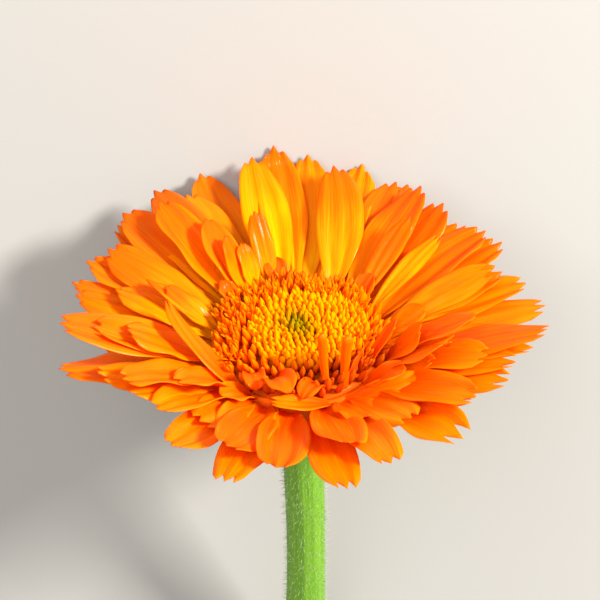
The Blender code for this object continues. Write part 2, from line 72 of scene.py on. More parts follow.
# Sizes of the solids, which the pieces keep
STEM_RADIUS = 2.95 * MM
STEM_LENGTH = 76.0 * MM
STEM_BOW = 0.9 * MM
NECK_HEIGHT = -9.5 * MM
CUP_RADIUS = 9.8 * MM
CUP_TOP = -2.9 * MM
CUP_FULLNESS = 0.8
BRACT_COUNT = 26
BRACT_LENGTH = 11.5 * MM
BRACT_SHORTER = 0.08
BRACT_WIDTH = 3.0 * MM
BRACT_RISE = radians(20.0)
BRACT_ARCH = radians(10.0)
BRACT_ROOT_RADIUS = 9.9 * MM
BRACT_ROOT_HEIGHT = -5.3 * MM
BRACT_ROW_STEP = 0.55 * MM
BRACT_RING = ((9.0, -6.4), (10.9, -5.6), (10.9, -3.5), (10.0, -3.5))
RAY_RING = (
    (7.7, -2.6), (12.2, -2.6), (12.8, 0.3), (12.5, 1.0), (11.75, 1.0), (11.7, 0.4), (7.7, 0.4)
)
# The ray petals, from the flattest to the steepest, but for the last two, which fill the sides.
# Each has its tip's direction round the disc in degrees, how far that tip reaches from the axis
# and stands above the ring, and the petal's width (all in millimetres). Where they aren't 0, its
# twist and, from the tip, its root's direction follow, in degrees.
RAYS = (
    (62, 33.8, 5, 6.2), (6, 35.2, 5.5, 5.6, 15, 0), (115.5, 34.8, 5.5, 7.4), (142, 34, 5.3, 6.6),
    (-163.5, 35.2, 6.1, 7.8), (-79.3, 34.9, 6.2, 7), (13, 33.2, 6, 6.8), (74, 33.6, 6.3, 7),
    (40, 31.6, 5.6, 6.6), (167, 33.5, 6.3, 6.4, 10, 0), (-107.3, 34.8, 6.9, 7),
    (160, 32.8, 6.6, 6.6), (64, 32.2, 6.5, 6.4, 15, 0), (172, 32.3, 6.6, 6.2), (28, 33, 6.9, 6.6),
    (129, 34, 7.3, 6.8), (-47, 33, 6.4, 8.4), (135, 32.3, 6.7, 6.6), (122, 31.6, 6.5, 7),
    (48, 31.5, 6.8, 7.2), (-123, 32.5, 7.3, 7.6), (-67, 32, 7.2, 7), (18, 30.5, 6.6, 6.6),
    (88, 33, 7.8, 6.8), (141, 33.2, 7.6, 7.4), (-25, 32, 7.5, 6.6), (96.8, 34, 8.4, 7.4),
    (-156, 31, 7.2, 6.2), (-110, 19.5, 2.6, 5.4), (-37, 29, 6.5, 6.8), (-96, 31.8, 7.5, 7.8),
    (-14, 33.6, 8.6, 6.6), (-20, 32.2, 8, 6, 25, 0), (-114, 24, 4.6, 8, -10, 0),
    (31, 31.3, 8.3, 7, -10, 0), (156, 30.5, 8.2, 6.8), (55, 31, 8.5, 7), (-110, 30, 8.1, 7.6),
    (-124, 25, 5.8, 7), (-146, 29, 7.1, 6.6), (103, 31.6, 9.6, 7.2), (-38, 31, 9.3, 6.4, 15, 0),
    (-13, 35.5, 11.8, 6.6), (-53, 25.5, 6.6, 7), (-76, 28.6, 8.4, 7.6),
    (169, 26.7, 7.4, 6.6, 12, 0), (16, 28.5, 8.5, 5, 60, 0), (-62, 21, 4.6, 6.4),
    (-167, 34.7, 12.7, 7.2), (-21, 28, 8.8, 6.6), (-136, 27.6, 7.3, 7.4), (-148, 29, 9.6, 6.6),
    (135, 29.2, 9.9, 6.8, -8, 0), (-167, 30, 10.6, 6.6), (-30, 20.5, 4.8, 4.2, 30, -33),
    (80, 28.6, 10.4, 7, 0, -12), (36, 25, 8.9, 3.2, 10, 0), (-27, 21, 6.3, 6.2),
    (164, 23, 7.9, 4.6, 25, 0), (-165, 25.2, 10.1, 6.6), (-140, 22, 7.6, 6.4),
    (12, 18.2, 4.9, 3.4, 45, 0), (48, 24, 9.9, 3.6), (-13, 25.5, 11.7, 6), (-15, 22.6, 9.1, 3.6),
    (128, 22.5, 9.1, 5.4, 30, 0), (164, 20, 7, 5), (-26, 23, 10.7, 5.6, -20, 0),
    (109, 20.5, 9.3, 3.4), (-106, 15.2, 4, 3.4, 10, 38), (180, 18.8, 9.8, 5, 55, 48),
    (120, 17, 7.4, 3.2, 20, 0), (126, 18, 9, 4, 45, 0), (-15, 18, 9, 5.2), (-172, 28.5, 2.2, 7),
    (-2, 28, 4, 6.4),
)
# Where the rays' roots sit on the ring: the flattest low and inside, the steepest higher and
# further out
RAY_ROOT_RADIUS = 11.2 * MM
RAY_ROOT_SPREAD = 1.3 * MM
RAY_ROOT_LOW = -1.9 * MM
RAY_ROOT_HIGH = 0.5 * MM
FLATTEST = radians(12.0)
STEEPEST = radians(38.0)
# How the rays bend down (arch), bend sideways (sway), twist and roll, and how far each may stray
RAY_ARCH = radians(11.0)
ARCH_POWER = 1.3
SWAY_POWER = 2
SWAY_GAIN = 1.5
MOST_SWAY = radians(35.0)
RAY_ROOT_ROLL = 1.15
ARCH_SCATTER = radians(6.0)
SWAY_SCATTER = radians(8.0)
TWIST_SCATTER = radians(16.0)
TIP_ROLL_SCATTER = 0.6
# A petal's outline, in shares of its length and its width
WIDEST_AT = 0.56
ROOT_SHARE = 0.3
ROOT_ROUNDING = 1.3
TIP_LOSS = 0.54
TIP_ROUNDING = 2.4
TOOTH_PITCH = 0.72
SPINE_STEPS = 25
# Short petals, on the rays' ring and among the florets. Each has its root's direction round the
# disc, how far it points aside from that, how steeply it rises and how far it curls over (all in
# degrees), then its length and width in millimetres.
RIM_PETALS = (
    (104, 0, 60, 40, 5.2, 3.6),
    (139, 0, 64, 20, 4.8, 3.0),
    (48, 0, 62, 30, 5.0, 3.4),
    (-44, 24, 50, 15, 8.6, 5.2),
    (-122, -20, 48, 30, 7.2, 4.8),
)
RIM_PETAL_RADIUS = 12.3 * MM
CURLED_PETALS = (
    (-129, 50, 104, 170, 6.4, 3.4),
    (-110, 52, 104, 150, 7.6, 4.8),
    (-77, -50, 100, 165, 6.2, 3.4),
    (-47, 20, 82, 10, 6.4, 2.8),
    (-33, 65, 57, 6, 9.4, 1.9),
)
CURLED_PETAL_RADIUS = 10.7 * MM
CURLED_PETAL_HEIGHT = 1.15 * MM
SHORT_ROOT_ROLL = 1.5
SHORT_TIP_ROLL = 0.3
# The disc: a low dome of buds with a ring of open florets round it
DISC_RADIUS = 11.4 * MM
DISC_TOP = 4.2 * MM
DISC_FALL = 3.0 * MM
DISC_BASE = 0.7 * MM
BUD_RADIUS = 7.0 * MM
# The quills: each one's direction in degrees, then its reach, length and radius in millimetres,
# and how far it leans aside
QUILLS = ((-68, 9.9, 11.2, 0.64, -0.07), (-54.5, 10.7, 10.3, 0.74, 0.03))
QUILL_LEAN = 0.03
QUILL_BOW = -0.12
# How the flower rests: its tilt, and the height below which a petal bends to lie on the floor
REST_REACH = 31.9 * MM
REST_HEIGHT = 6.6 * MM
SOFT_HEIGHT = 1.4 * MM
RESTING_HEIGHT = 0.2 * MM
REST_TILT = atan2(REST_REACH - STEM_RADIUS, REST_HEIGHT + STEM_LENGTH)

# The photograph's view: how far the camera stands above the bloom's face, and where the middle of
# the rays' ring lies in its frame of 600 pixels
VIEW_RISE = radians(43.0)
VIEW_DISTANCE = 600 * MM
FRAME_PIXELS = 600
PIXEL = 0.1427 * MM
HEAD_PIXEL = (300, 350)
UPWARDS = np.array([0, 0, 1.0])

# The slot of each part's pieces and the solid that they stand for
RAY_PART = ("petal_orange", "ray_petals")
FLORET_PART = ("floret_orange", "open_florets")
BUD_PART = ("bud_gold", "closed_buds")
BRACT_PART = ("bract_green", "involucre")


def laid_down():
    """The matrix from the flower's frame to the floor's, shifted to where the stem's solid lies."""
    sine, cosine = sin(REST_TILT), cos(REST_TILT)
    turn = Matrix(((1, 0, 0), (0, sine, cosine), (0, -cosine, sine))).to_4x4()
    lowest = turn @ Vector((0, STEM_RADIUS, -STEM_LENGTH))
    nearest = turn @ Vector((0, -STEM_RADIUS, -STEM_LENGTH))
    low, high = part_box("stem")
    return Matrix.Translation(((low.x + high.x) / 2, low.y - nearest.y, -lowest.z)) @ turn


LAID = np.array(laid_down())


def placed(points):
    """Points of the flower's frame as points above the floor."""
    return np.asarray(points) @ LAID[:3, :3].T + LAID[:3, 3]


def turned(directions):
    return np.asarray(directions) @ LAID[:3, :3].T


def unit(vectors):
    return vectors / np.linalg.norm(vectors, axis=-1, keepdims=True)


def polar(angle, radius, height):
    return np.array([radius * cos(angle), radius * sin(angle), height])


def smooth(value):
    value = np.clip(value, 0, 1)
    return value * value * (3 - 2 * value)


# Meshes


def shown(name, data):
    """A new object of the scene with this mesh, camera or light."""
    made = bpy.data.objects.new(name, data)
    bpy.context.scene.collection.objects.link(made)
    return made


def mesh_piece(name, points, faces, values=None, template=False):
    """An object from points and faces, with a float attribute on its points for each value. A
    template is flat-shaded and not in the scene."""
    mesh = bpy.data.meshes.new(name)
    mesh.from_pydata(np.asarray(points).tolist(), [], [tuple(map(int, face)) for face in faces])
    for key, numbers in (values or {}).items():
        layer = mesh.attributes.new(key, "FLOAT", "POINT")
        layer.data.foreach_set("value", np.asarray(numbers, np.float32).ravel())
    if template:
        return bpy.data.objects.new(name, mesh)
    mesh.shade_smooth()
    return shown(name, mesh)


def finished(piece, finish, slot, *nodes):
    """A finished piece: its material, its slot, which is not used, the solids it stands for, and
    its body.
    """
    piece.data.materials.clear()
    piece.data.materials.append(finish)
    if nodes:
        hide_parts(*nodes)
    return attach(piece, "root")


def wall(low, high, sides):
    """The faces between two circles of points, given each one's first index."""
    return [
        (low + j, low + (j + 1) % sides, high + (j + 1) % sides, high + j) for j in range(sides)
    ]


def turned_faces(rings, sides):
    """The faces of a turned shape whose first and last circles are closed by a fan, each round a
    point that follows the circles."""
    faces = []
    for ring in range(rings - 1):
        faces += wall(ring * sides, (ring + 1) * sides, sides)
    first, top = rings * sides, (rings - 1) * sides
    for j in range(sides):
        n = (j + 1) % sides
        faces += [(n, j, first), (top + j, top + n, first + 1)]
    return faces


def shell(top, bottom):
    """The points and faces of a thin closed shell: a grid of points, the same grid below it, and
    its rim."""
    rows, wide, _ = top.shape
    count = rows * wide
    cells = (np.arange(rows - 1)[:, None] * wide + np.arange(wide - 1)).ravel()
    upper = np.stack([cells, cells + 1, cells + wide + 1, cells + wide], axis=1)
    rim = [np.arange(wide), np.arange(1, rows) * wide + wide - 1]
    rim += [(rows - 1) * wide + np.arange(wide - 2, -1, -1), np.arange(rows - 2, 0, -1) * wide]
    rim = np.concatenate(rim)
    ahead = np.roll(rim, -1)
    sides = np.stack([rim, rim + count, ahead + count, ahead], axis=1)
    faces = np.vstack([upper, upper[:, ::-1] + count, sides])
    return np.vstack([top.reshape(-1, 3), bottom.reshape(-1, 3)]), faces


def circle(sides, radius, height):
    return [polar(2 * pi * j / sides, radius, height) for j in range(sides)]


def hooked_shape(profile, sides, width, hook, fold, tip):
    """A pointed shape of unit height with a profile of heights and radii, bent to one side by the
    hook, every second point of its circles folded in."""
    points, along = [], []
    for height, radius in profile:
        for j, point in enumerate(circle(sides, radius * width, height)):
            point[:2] *= 1 + fold * (1 if j % 2 else -1)
            point[0] += hook * height**2
            points.append(point)
            along.append(height)
    return points + [(0, 0, 0), tip], turned_faces(len(profile), sides), along + [0.0, 1.0]


def joined_shells(name, shells):
    """One mesh from several shells, each given by its points, faces and values."""
    starts = np.cumsum([0] + [len(points) for points, _, _ in shells])
    points = np.vstack([points for points, _, _ in shells])
    faces = np.vstack([faces + start for (_, faces, _), start in zip(shells, starts)])
    values = {key: np.concatenate([shell[2][key] for shell in shells]) for key in shells[0][2]}
    return mesh_piece(name, points, faces, values)


# Petals


def eased(height, soft, resting=0.0):
    """Heights, of which those below the soft one are pressed together above the resting one."""
    depth = soft - resting
    pressed = resting + depth * np.exp((np.minimum(height, soft) - soft) / depth)
    return np.where(height < soft, pressed, height)


def kept_above(points):
    """Points near the floor bent to lie along it, moved forward by the height they lose."""
    lifted = eased(points[:, 2], SOFT_HEIGHT, RESTING_HEIGHT) - points[:, 2]
    return points + np.stack([0 * lifted, lifted, lifted], axis=1)


def petal_spine(petal):
    """Points down the middle of a petal, and the direction across it at each."""
    share = np.linspace(0, 1, SPINE_STEPS)
    heading = petal["heading"] + petal["sway"] * share**SWAY_POWER
    rise = petal["rise"] - petal["arch"] * share**ARCH_POWER
    outward = np.stack([np.cos(heading), np.sin(heading), 0 * heading], axis=1)
    forward = outward * np.cos(rise)[:, None]
    forward[:, 2] = np.sin(rise)
    steps = (forward[1:] + forward[:-1]) / 2 * petal["length"] / (SPINE_STEPS - 1)
    root = polar(petal["azimuth"], petal["root_radius"], petal["root_height"])
    points = root + np.vstack([np.zeros(3), np.cumsum(steps, axis=0)])
    across = np.stack([-np.sin(heading), np.cos(heading), 0 * heading], axis=1)
    return share, kept_above(placed(points)), turned(across)


def half_width(petal, along):
    """Half of a petal's width, from its narrow root to its rounded tip."""
    growing = np.sin(np.pi / 2 * np.clip(along / WIDEST_AT, 0, 1)) ** ROOT_ROUNDING
    closing = np.clip((along - WIDEST_AT) / (1 - WIDEST_AT), 0, 1) ** TIP_ROUNDING
    return petal["width"] / 2 * (ROOT_SHARE + (1 - ROOT_SHARE) * growing - TIP_LOSS * closing)


def petal_points(petal, along, across, lift):
    """Points on a petal that is rolled to an arc: along runs from 0 to 1, across from -1 to 1, and
    lift is the height above its middle sheet."""
    share, spine, side = petal_spine(petal)
    forward = unit(np.gradient(spine, axis=0))
    up = unit(np.cross(forward, side))
    side = np.cross(up, forward)
    point, side, up = (
        np.stack([np.interp(along, share, values[:, k]) for k in range(3)], axis=-1)
        for values in (spine, side, up)
    )
    twist = (petal["twist"] * along)[..., None]
    side, up = side * np.cos(twist) + up * np.sin(twist), up * np.cos(twist) - side * np.sin(twist)
    half = half_width(petal, along)
    roll = petal["root_roll"] + (petal["tip_roll"] - petal["root_roll"]) * along**ROLL_FADE
    turn = roll * across
    flat = half * across * np.sinc(turn / np.pi) - lift * np.sin(turn)
    risen = half * turn * across / 2 * np.sinc(turn / (2 * np.pi)) ** 2 + lift * np.cos(turn)
    return point + side * flat[..., None] + up * risen[..., None]


def petal_form(azimuth, heading, rise, arch, length, width, root_radius):
    """A petal's sizes and directions, for a short untwisted one unless they are changed."""
    form = {"azimuth": azimuth, "heading": heading, "rise": rise, "arch": arch, "length": length}
    form |= {"width": width, "root_radius": root_radius, "root_height": RAY_ROOT_HIGH}
    form |= {"root_roll": SHORT_ROOT_ROLL, "tip_roll": SHORT_TIP_ROLL}
    return form | {"sway": 0.0, "twist": 0.0, "toothed": False}


def ray_layout():
    """The ray petals, each worked out from its tip back to its root. A bend that grows by a power
    turns a petal by 1 / (power + 1) of it on average, and makes it 1/24 of its square longer."""
    draw = np.random.RandomState(SEED)
    rays = []
    for azimuth, reach, height, width, *turns in RAYS:
        twist, shift = turns or (0, 0)
        jitter = draw.uniform(-1, 1, 4)
        steepness = atan2(height * MM - RAY_ROOT_LOW, reach * MM - RAY_ROOT_RADIUS)
        share = min(max((steepness - FLATTEST) / (STEEPEST - FLATTEST), 0), 1)
        root_radius = RAY_ROOT_RADIUS + RAY_ROOT_SPREAD * share
        root_height = RAY_ROOT_LOW + (RAY_ROOT_HIGH - RAY_ROOT_LOW) * share
        root_azimuth = radians(azimuth + shift)
        chord = polar(radians(azimuth), reach * MM, 0) - polar(root_azimuth, root_radius, 0)
        towards = atan2(chord[1], chord[0])
        turning = (towards - root_azimuth + pi) % (2 * pi) - pi
        sway = min(max(SWAY_GAIN * turning, -MOST_SWAY), MOST_SWAY) + SWAY_SCATTER * jitter[1]
        run = hypot(chord[0], chord[1])
        climb = height * MM - root_height
        arch = RAY_ARCH + ARCH_SCATTER * jitter[0]
        heading = towards - sway / (SWAY_POWER + 1)
        rise = atan2(climb, run) + arch / (ARCH_POWER + 1)
        length = hypot(run, climb) * (1 + arch**2 / 24 + sway**2 / 24)
        ray = petal_form(root_azimuth, heading, rise, arch, length, width * MM, root_radius)
        ray |= {"root_height": root_height, "root_roll": RAY_ROOT_ROLL, "toothed": True}
        ray |= {"tip_roll": TIP_ROLL_SCATTER * jitter[3], "sway": sway}
        rays.append(ray | {"twist": radians(twist) + TWIST_SCATTER * jitter[2]})
    return rays


def short_petals(rows, radius, height):
    """Short steep petals that grow on a circle of this radius and height."""
    petals = []
    for azimuth, aside, rise, curl, length, width in rows:
        angles = (radians(angle) for angle in (azimuth, azimuth + aside, rise, curl))
        petal = petal_form(*angles, length * MM, width * MM, radius)
        petals.append(petal | {"root_height": height})
    return petals


PETAL_THICKNESS = 0.26 * MM
EDGE_THINNING = 0.6
TIP_THINNING = 0.5
ROLL_FADE = 0.7
# The teeth, in shares of a petal's length: their depth, how far the middle one stands out and how
# round a line the three make. The near petals' are deeper and in a flatter line.
TOOTH_DEPTH = 0.036
TOOTH_SCATTER = (0.8, 1.6)
TOOTH_POINT = 1.2
MIDDLE_TOOTH = (-0.015, 0.02)
TIP_ARC = 0.085
TIP_ARC_POWER = 2.2
NEAR_DEEPER = 1.5
NEAR_FLATTER = 0.75
SHORT_TIP_ARC = 0.3
SHORT_ARC_POWER = 2.4
# The grooves, wavy edge and curled tip of a ray of the common width, how far they stray, and where
# along the petal they set in
RAY_WIDEST = 7.0 * MM
PLEAT_HEIGHT = 0.13 * MM
PLEAT_SCATTER = (0.6, 1.35)
PLEAT_ONSET = 0.35
EDGE_WAVE = 0.32 * MM
WAVE_COUNT = (1.2, 2.6)
WAVE_ONSET = (0.15, 0.5)
TIP_CURL = 0.55 * MM
CURL_ONSET = 0.28
# Half of a petal's columns, closer at its edge, and its rows, closer at its tip
FINE_COLUMNS = np.array([0.12, 0.24, 0.36, 0.48, 0.6, 0.72, 0.82, 0.91, 1.0])
ROW_POWER = 0.9
RAY_ROWS = 30
SHORT_ROWS = 20
FLOOR_EASE = 0.3 * MM
# The direction of the line between the far and the near petals, and how sharply they part
NEAR_TURN = radians(20)
NEAR_SHARPNESS = 0.75
DULL_POWER = 1.5


def tooth_line(across, depth, middle, arc):
    """How far along the petal its tip reaches: a round end cut into three pointed teeth."""
    nearest = np.abs(across - TOOTH_PITCH * np.round(across / TOOTH_PITCH))
    line = 1 - depth * (nearest / (TOOTH_PITCH / 2)) ** TOOTH_POINT
    line += middle * (1 - smooth(np.abs(across) / TOOTH_PITCH))
    return line - arc * np.abs(across) ** TIP_ARC_POWER


def facing_near(petal):
    """How far a petal is on the near side, whose petals are redder with painted shade and have
    deeper teeth.
    """
    return float(smooth(0.5 - NEAR_SHARPNESS * sin(petal["azimuth"] - NEAR_TURN)))


def petal_shell(petal, draw, rows, dullest):
    """One petal as a thin closed shell with grooves that run to the notches of its tip, a wavy
    edge and a curled tip. Returns its points, faces and values."""
    columns = np.concatenate([-FINE_COLUMNS[::-1], [0.0], FINE_COLUMNS])
    stations = np.linspace(0, 1, rows) ** ROW_POWER
    near = facing_near(petal)
    if petal["toothed"]:
        depth = TOOTH_DEPTH * (1 + NEAR_DEEPER * near) * draw.uniform(*TOOTH_SCATTER)
        arc = TIP_ARC * (1 - NEAR_FLATTER * near)
        reach = tooth_line(columns, depth, draw.uniform(*MIDDLE_TOOTH), arc)
    else:
        slimness = petal["width"] / petal["length"]
        reach = 1 - SHORT_TIP_ARC * slimness * np.abs(columns) ** SHORT_ARC_POWER
    along = stations[:, None] * reach[None, :]
    across = np.repeat(columns[None, :], rows, axis=0)
    size = petal["width"] / RAY_WIDEST
    grooves = PLEAT_HEIGHT * size * draw.uniform(*PLEAT_SCATTER)
    grooves = grooves * np.cos(2 * np.pi * across / TOOTH_PITCH) * smooth(along / PLEAT_ONSET)
    edge = across**4 * smooth((along - WAVE_ONSET[0]) / WAVE_ONSET[1])
    phase = draw.uniform(*WAVE_COUNT) * along + draw.uniform() + 0.5 * (across > 0)
    wave = EDGE_WAVE * size * edge * np.sin(2 * np.pi * phase)
    curling = smooth((along - 1 + CURL_ONSET) / CURL_ONSET) ** 2
    curl = TIP_CURL * size * draw.uniform(-1, 1) * curling
    sheet = grooves + wave + curl
    thinned = (1 - EDGE_THINNING * across**6) * (1 - TIP_THINNING * along**8)
    half = PETAL_THICKNESS / 2 * thinned
    top = petal_points(petal, along, across, sheet + half)
    bottom = petal_points(petal, along, across, sheet - half)
    points, faces = shell(top, bottom)
    points[:, 2] = eased(points[:, 2], FLOOR_EASE)
    count = along.size
    values = {
        "along": np.tile(along.ravel(), 2),
        "across": np.tile(across.ravel(), 2),
        "underside": np.repeat([0.0, 1.0], count),
        "tone": np.full(2 * count, draw.uniform()),
        "near": np.full(2 * count, near),
        "dull": np.full(2 * count, dullest * (1 - near) * draw.uniform() ** DULL_POWER),
    }
    return points, faces, values


def petal_group(name, petals, rows, seed, dullest=0.1):
    """Several petals as one mesh of separate shells, some of them duller than others."""
    draw = np.random.RandomState(seed)
    return joined_shells(name, [petal_shell(petal, draw, rows, dullest) for petal in petals])


QUILL_SIDES = 24
QUILL_RINGS = 22
QUILL_FLATNESS = 0.85
# The seam's depth as a share of the quill's radius, its direction and its width
SEAM_DEPTH = 0.16
SEAM_TURN = 0.9
SEAM_WIDTH = 0.2
# The share of its length over which a quill's tip is rounded, how small it ends, and the part of a
# petal's colours that it shows
QUILL_TIP = 0.07
LEAST_ROUNDING = 0.02
QUILL_ALONG = (0.35, 0.5)


def rolled_quills():
    """The petals rolled up into closed fingers that stand among the florets, each with the seam
    where its edges meet."""
    points, faces, along, across = [], [], [], []
    turns = 2 * pi * np.arange(QUILL_SIDES) / QUILL_SIDES
    seam = 1 - SEAM_DEPTH * np.exp(-((np.cos((turns + SEAM_TURN) / 2) / SEAM_WIDTH) ** 2))
    for azimuth, reach, length, radius, aside in QUILLS:
        start = len(points)
        outward = polar(radians(azimuth), 1, 0)
        leaning = np.array([aside, 0, 1]) + outward * QUILL_LEAN
        root = outward * reach * MM + UPWARDS * (DISC_TOP - DISC_FALL - 0.3 * MM)
        for share in np.linspace(0, 1, QUILL_RINGS):
            closing = max(share - 1 + QUILL_TIP, 0) / QUILL_TIP
            wide = radius * MM * (0.7 + 0.32 * sin(1.9 * share))
            wide *= sqrt(max(1 - closing**2, LEAST_ROUNDING))
            bow = QUILL_BOW * (share - share**2) * outward
            middle = root + length * MM * share * (leaning + bow)
            for turn, dip in zip(turns, seam):
                ring = polar(turn, wide * dip, 0) * np.array([1, QUILL_FLATNESS, 1])
                points.append(middle + ring)
                along.append(QUILL_ALONG[0] + QUILL_ALONG[1] * share)
                across.append(cos(turn))
        points += [root, root + length * MM * leaning]
        along += [QUILL_ALONG[0], sum(QUILL_ALONG)]
        across += [0, 0]
        faces += [tuple(start + k for k in face) for face in turned_faces(QUILL_RINGS, QUILL_SIDES)]
    # A near value of 0.8 gives the quills the near petals' painted shade low down and painted light
    # higher up
    values = {"underside": 0.0, "dull": 0.0, "tone": 0.4, "near": 0.8}
    values = {key: np.full(len(points), value) for key, value in values.items()}
    values |= {"along": along, "across": across}
    return mesh_piece("rolled_quills", placed(np.array(points)), faces, values)


# Node trees


class Value:
    """What a node gives. Arithmetic on it adds math nodes to its tree."""

    def __init__(self, socket):
        self.socket = socket
        self.tree = socket.id_data

    def math(self, operation, *others):
        inputs = dict(enumerate((self, *others)))
        return step(self.tree, "ShaderNodeMath", inputs, operation=operation)

    def beside(self, name):
        """Another output of the same node."""
        return Value(self.socket.node.outputs[name])

    def __rsub__(self, other):
        return step(self.tree, "ShaderNodeMath", {0: other, 1: self}, operation="SUBTRACT")


SIGNS = {"add": "ADD", "sub": "SUBTRACT", "mul": "MULTIPLY", "truediv": "DIVIDE", "pow": "POWER"}
for sign, operation in SIGNS.items():
    setattr(Value, f"__{sign}__", partialmethod(Value.math, operation))


def fed(node, inputs):
    """Gives a node's inputs their values, or links them to what other nodes give."""
    for key, value in inputs.items():
        if isinstance(value, Value):
            value.tree.links.new(value.socket, node.inputs[key])
        else:
            node.inputs[key].default_value = value


def step(tree, kind, inputs=None, output=0, **settings):
    """Adds a node with its settings and inputs, and returns what it gives."""
    node = tree.nodes.new(kind)
    for key, value in settings.items():
        setattr(node, key, value)
    fed(node, inputs or {})
    return Value(node.outputs[output]) if node.outputs else None


def xyz(tree, x=0.0, y=0.0, z=0.0):
    return step(tree, "ShaderNodeCombineXYZ", {"X": x, "Y": y, "Z": z})


def vector(operation, first, second, output=0):
    inputs = {0: first, 1: second}
    return step(first.tree, "ShaderNodeVectorMath", inputs, output, operation=operation)


def remap(value, low, high, new_low=0.0, new_high=1.0):
    """The value from low to high, turned to new_low to new_high and held there."""
    inputs = {"Value": value, "From Min": low, "From Max": high}
    inputs |= {"To Min": new_low, "To Max": new_high}
    return step(value.tree, "ShaderNodeMapRange", inputs, clamp=True)


def blended(factor, first, second):
    """The first colour, mixed with the second by the factor."""
    pair = [colour if isinstance(colour, Value) else (*colour, 1) for colour in (first, second)]
    inputs = {0: factor, 6: pair[0], 7: pair[1]}
    return step(factor.tree, "ShaderNodeMix", inputs, 2, data_type="RGBA", blend_type="MIX")


def attribute(tree, name):
    return step(tree, "ShaderNodeAttribute", None, "Fac", attribute_name=name)


def grain(tree, place, scale, detail):
    """Noise on a place stretched by this scale."""
    mapped = step(tree, "ShaderNodeMapping", {"Vector": place, "Scale": scale})
    inputs = {"Vector": mapped, "Scale": 1.0, "Detail": detail}
    return step(tree, "ShaderNodeTexNoise", inputs, "Fac")


def solid_grain(tree, scale, detail):
    place = step(tree, "ShaderNodeTexCoord", None, "Object")
    return grain(tree, place, (scale,) * 3, detail)


# Materials


def new_material(name, roughness, inputs):
    """A material with a Principled shader, its tree and that shader."""
    made = bpy.data.materials.new(name)
    made.use_nodes = True
    shader = made.node_tree.nodes["Principled BSDF"]
    fed(shader, {"Roughness": roughness} | inputs)
    return made, made.node_tree, shader


def bumped(shader, height, distance):
    inputs = {"Height": height, "Distance": distance, "Strength": 1.0}
    normal = step(shader.id_data, "ShaderNodeBump", inputs, "Normal")
    fed(shader, {"Normal": normal})
    return {"Normal": normal}


def see_through(shader, colour, share, normal):
    """Light that passes through a thin sheet, mixed with its shader."""
    tree = shader.id_data
    glow = step(tree, "ShaderNodeBsdfTranslucent", {"Color": colour} | normal)
    inputs = {0: share, 1: Value(shader.outputs[0]), 2: glow}
    fed(tree.nodes["Material Output"], {"Surface": step(tree, "ShaderNodeMixShader", inputs)})


# Each petal skin's yellow, orange, deepest and lightest colour, as red and green (they hold no
# blue), then how much light passes through it and how much it shines. The lightest colour is used
# as painted light.
PETAL_SKINS = {
    "petal_skin": ((1.0, 0.56), (1.0, 0.22), (1.0, 0.085), (1.0, 0.25), 0.38, 0.22),
    # The short rim petals' skin is deeper red, as painted shade round the disc
    "deep_painted_shade_skin": ((1.0, 0.2), (1.0, 0.14), (0.95, 0.06), (1.0, 0.22), 0.3, 0.22),
    # The curled petals' skin is redder, as painted shade in their hollows
    "curl_painted_shade_skin": ((1.0, 0.13), (1.0, 0.09), (0.95, 0.03), (1.0, 0.16), 0.3, 0.22),
    # The ray ring's skin is dark red, as painted shade between the petals' roots
    "ring_painted_shade_skin": ((0.8, 0.1), (0.75, 0.08), (0.65, 0.05), (0.8, 0.12), 0.2, 0.03),
    # The florets' bed is dark red, as painted shade in the gaps between the florets
    "floret_bed_painted_shade_skin": ((0.6, 0.07), (0.5, 0.055), (0.35, 0.03), (0.6, 0.08), 0.1, 0.03),
}
PETAL_ROUGHNESS = 0.34
COAT_SHARE = 1 / 2.4
COAT_ROUGHNESS = 0.14
PETAL_GLINT = (1.0, 0.5, 0.0, 1)
FLORET_GLINT = (1.0, 0.55, 0.0, 1)
UNDERSIDE_TINT = (0.8, 0.14, 0.01)
DULL_TINT = (0.62, 0.1, 0.01)
# The florets' painted shade colour
PAINTED_SHADE_TINT = (0.6, 0.075, 0.004)
SPECK_TINT = (0.38, 0.55, 0.14)
PITH_TINT = (0.5, 0.62, 0.3)
HAIR_PALE = (0.55, 0.68, 0.38, 1)
# How noise is stretched on a petal. The last number sets petals of different tones apart.
LINES = (20.0, 2.6, 90.0)
CELLS = (80.0, 120.0, 90.0)
PATCHES = (2.0, 3.0, 90.0)


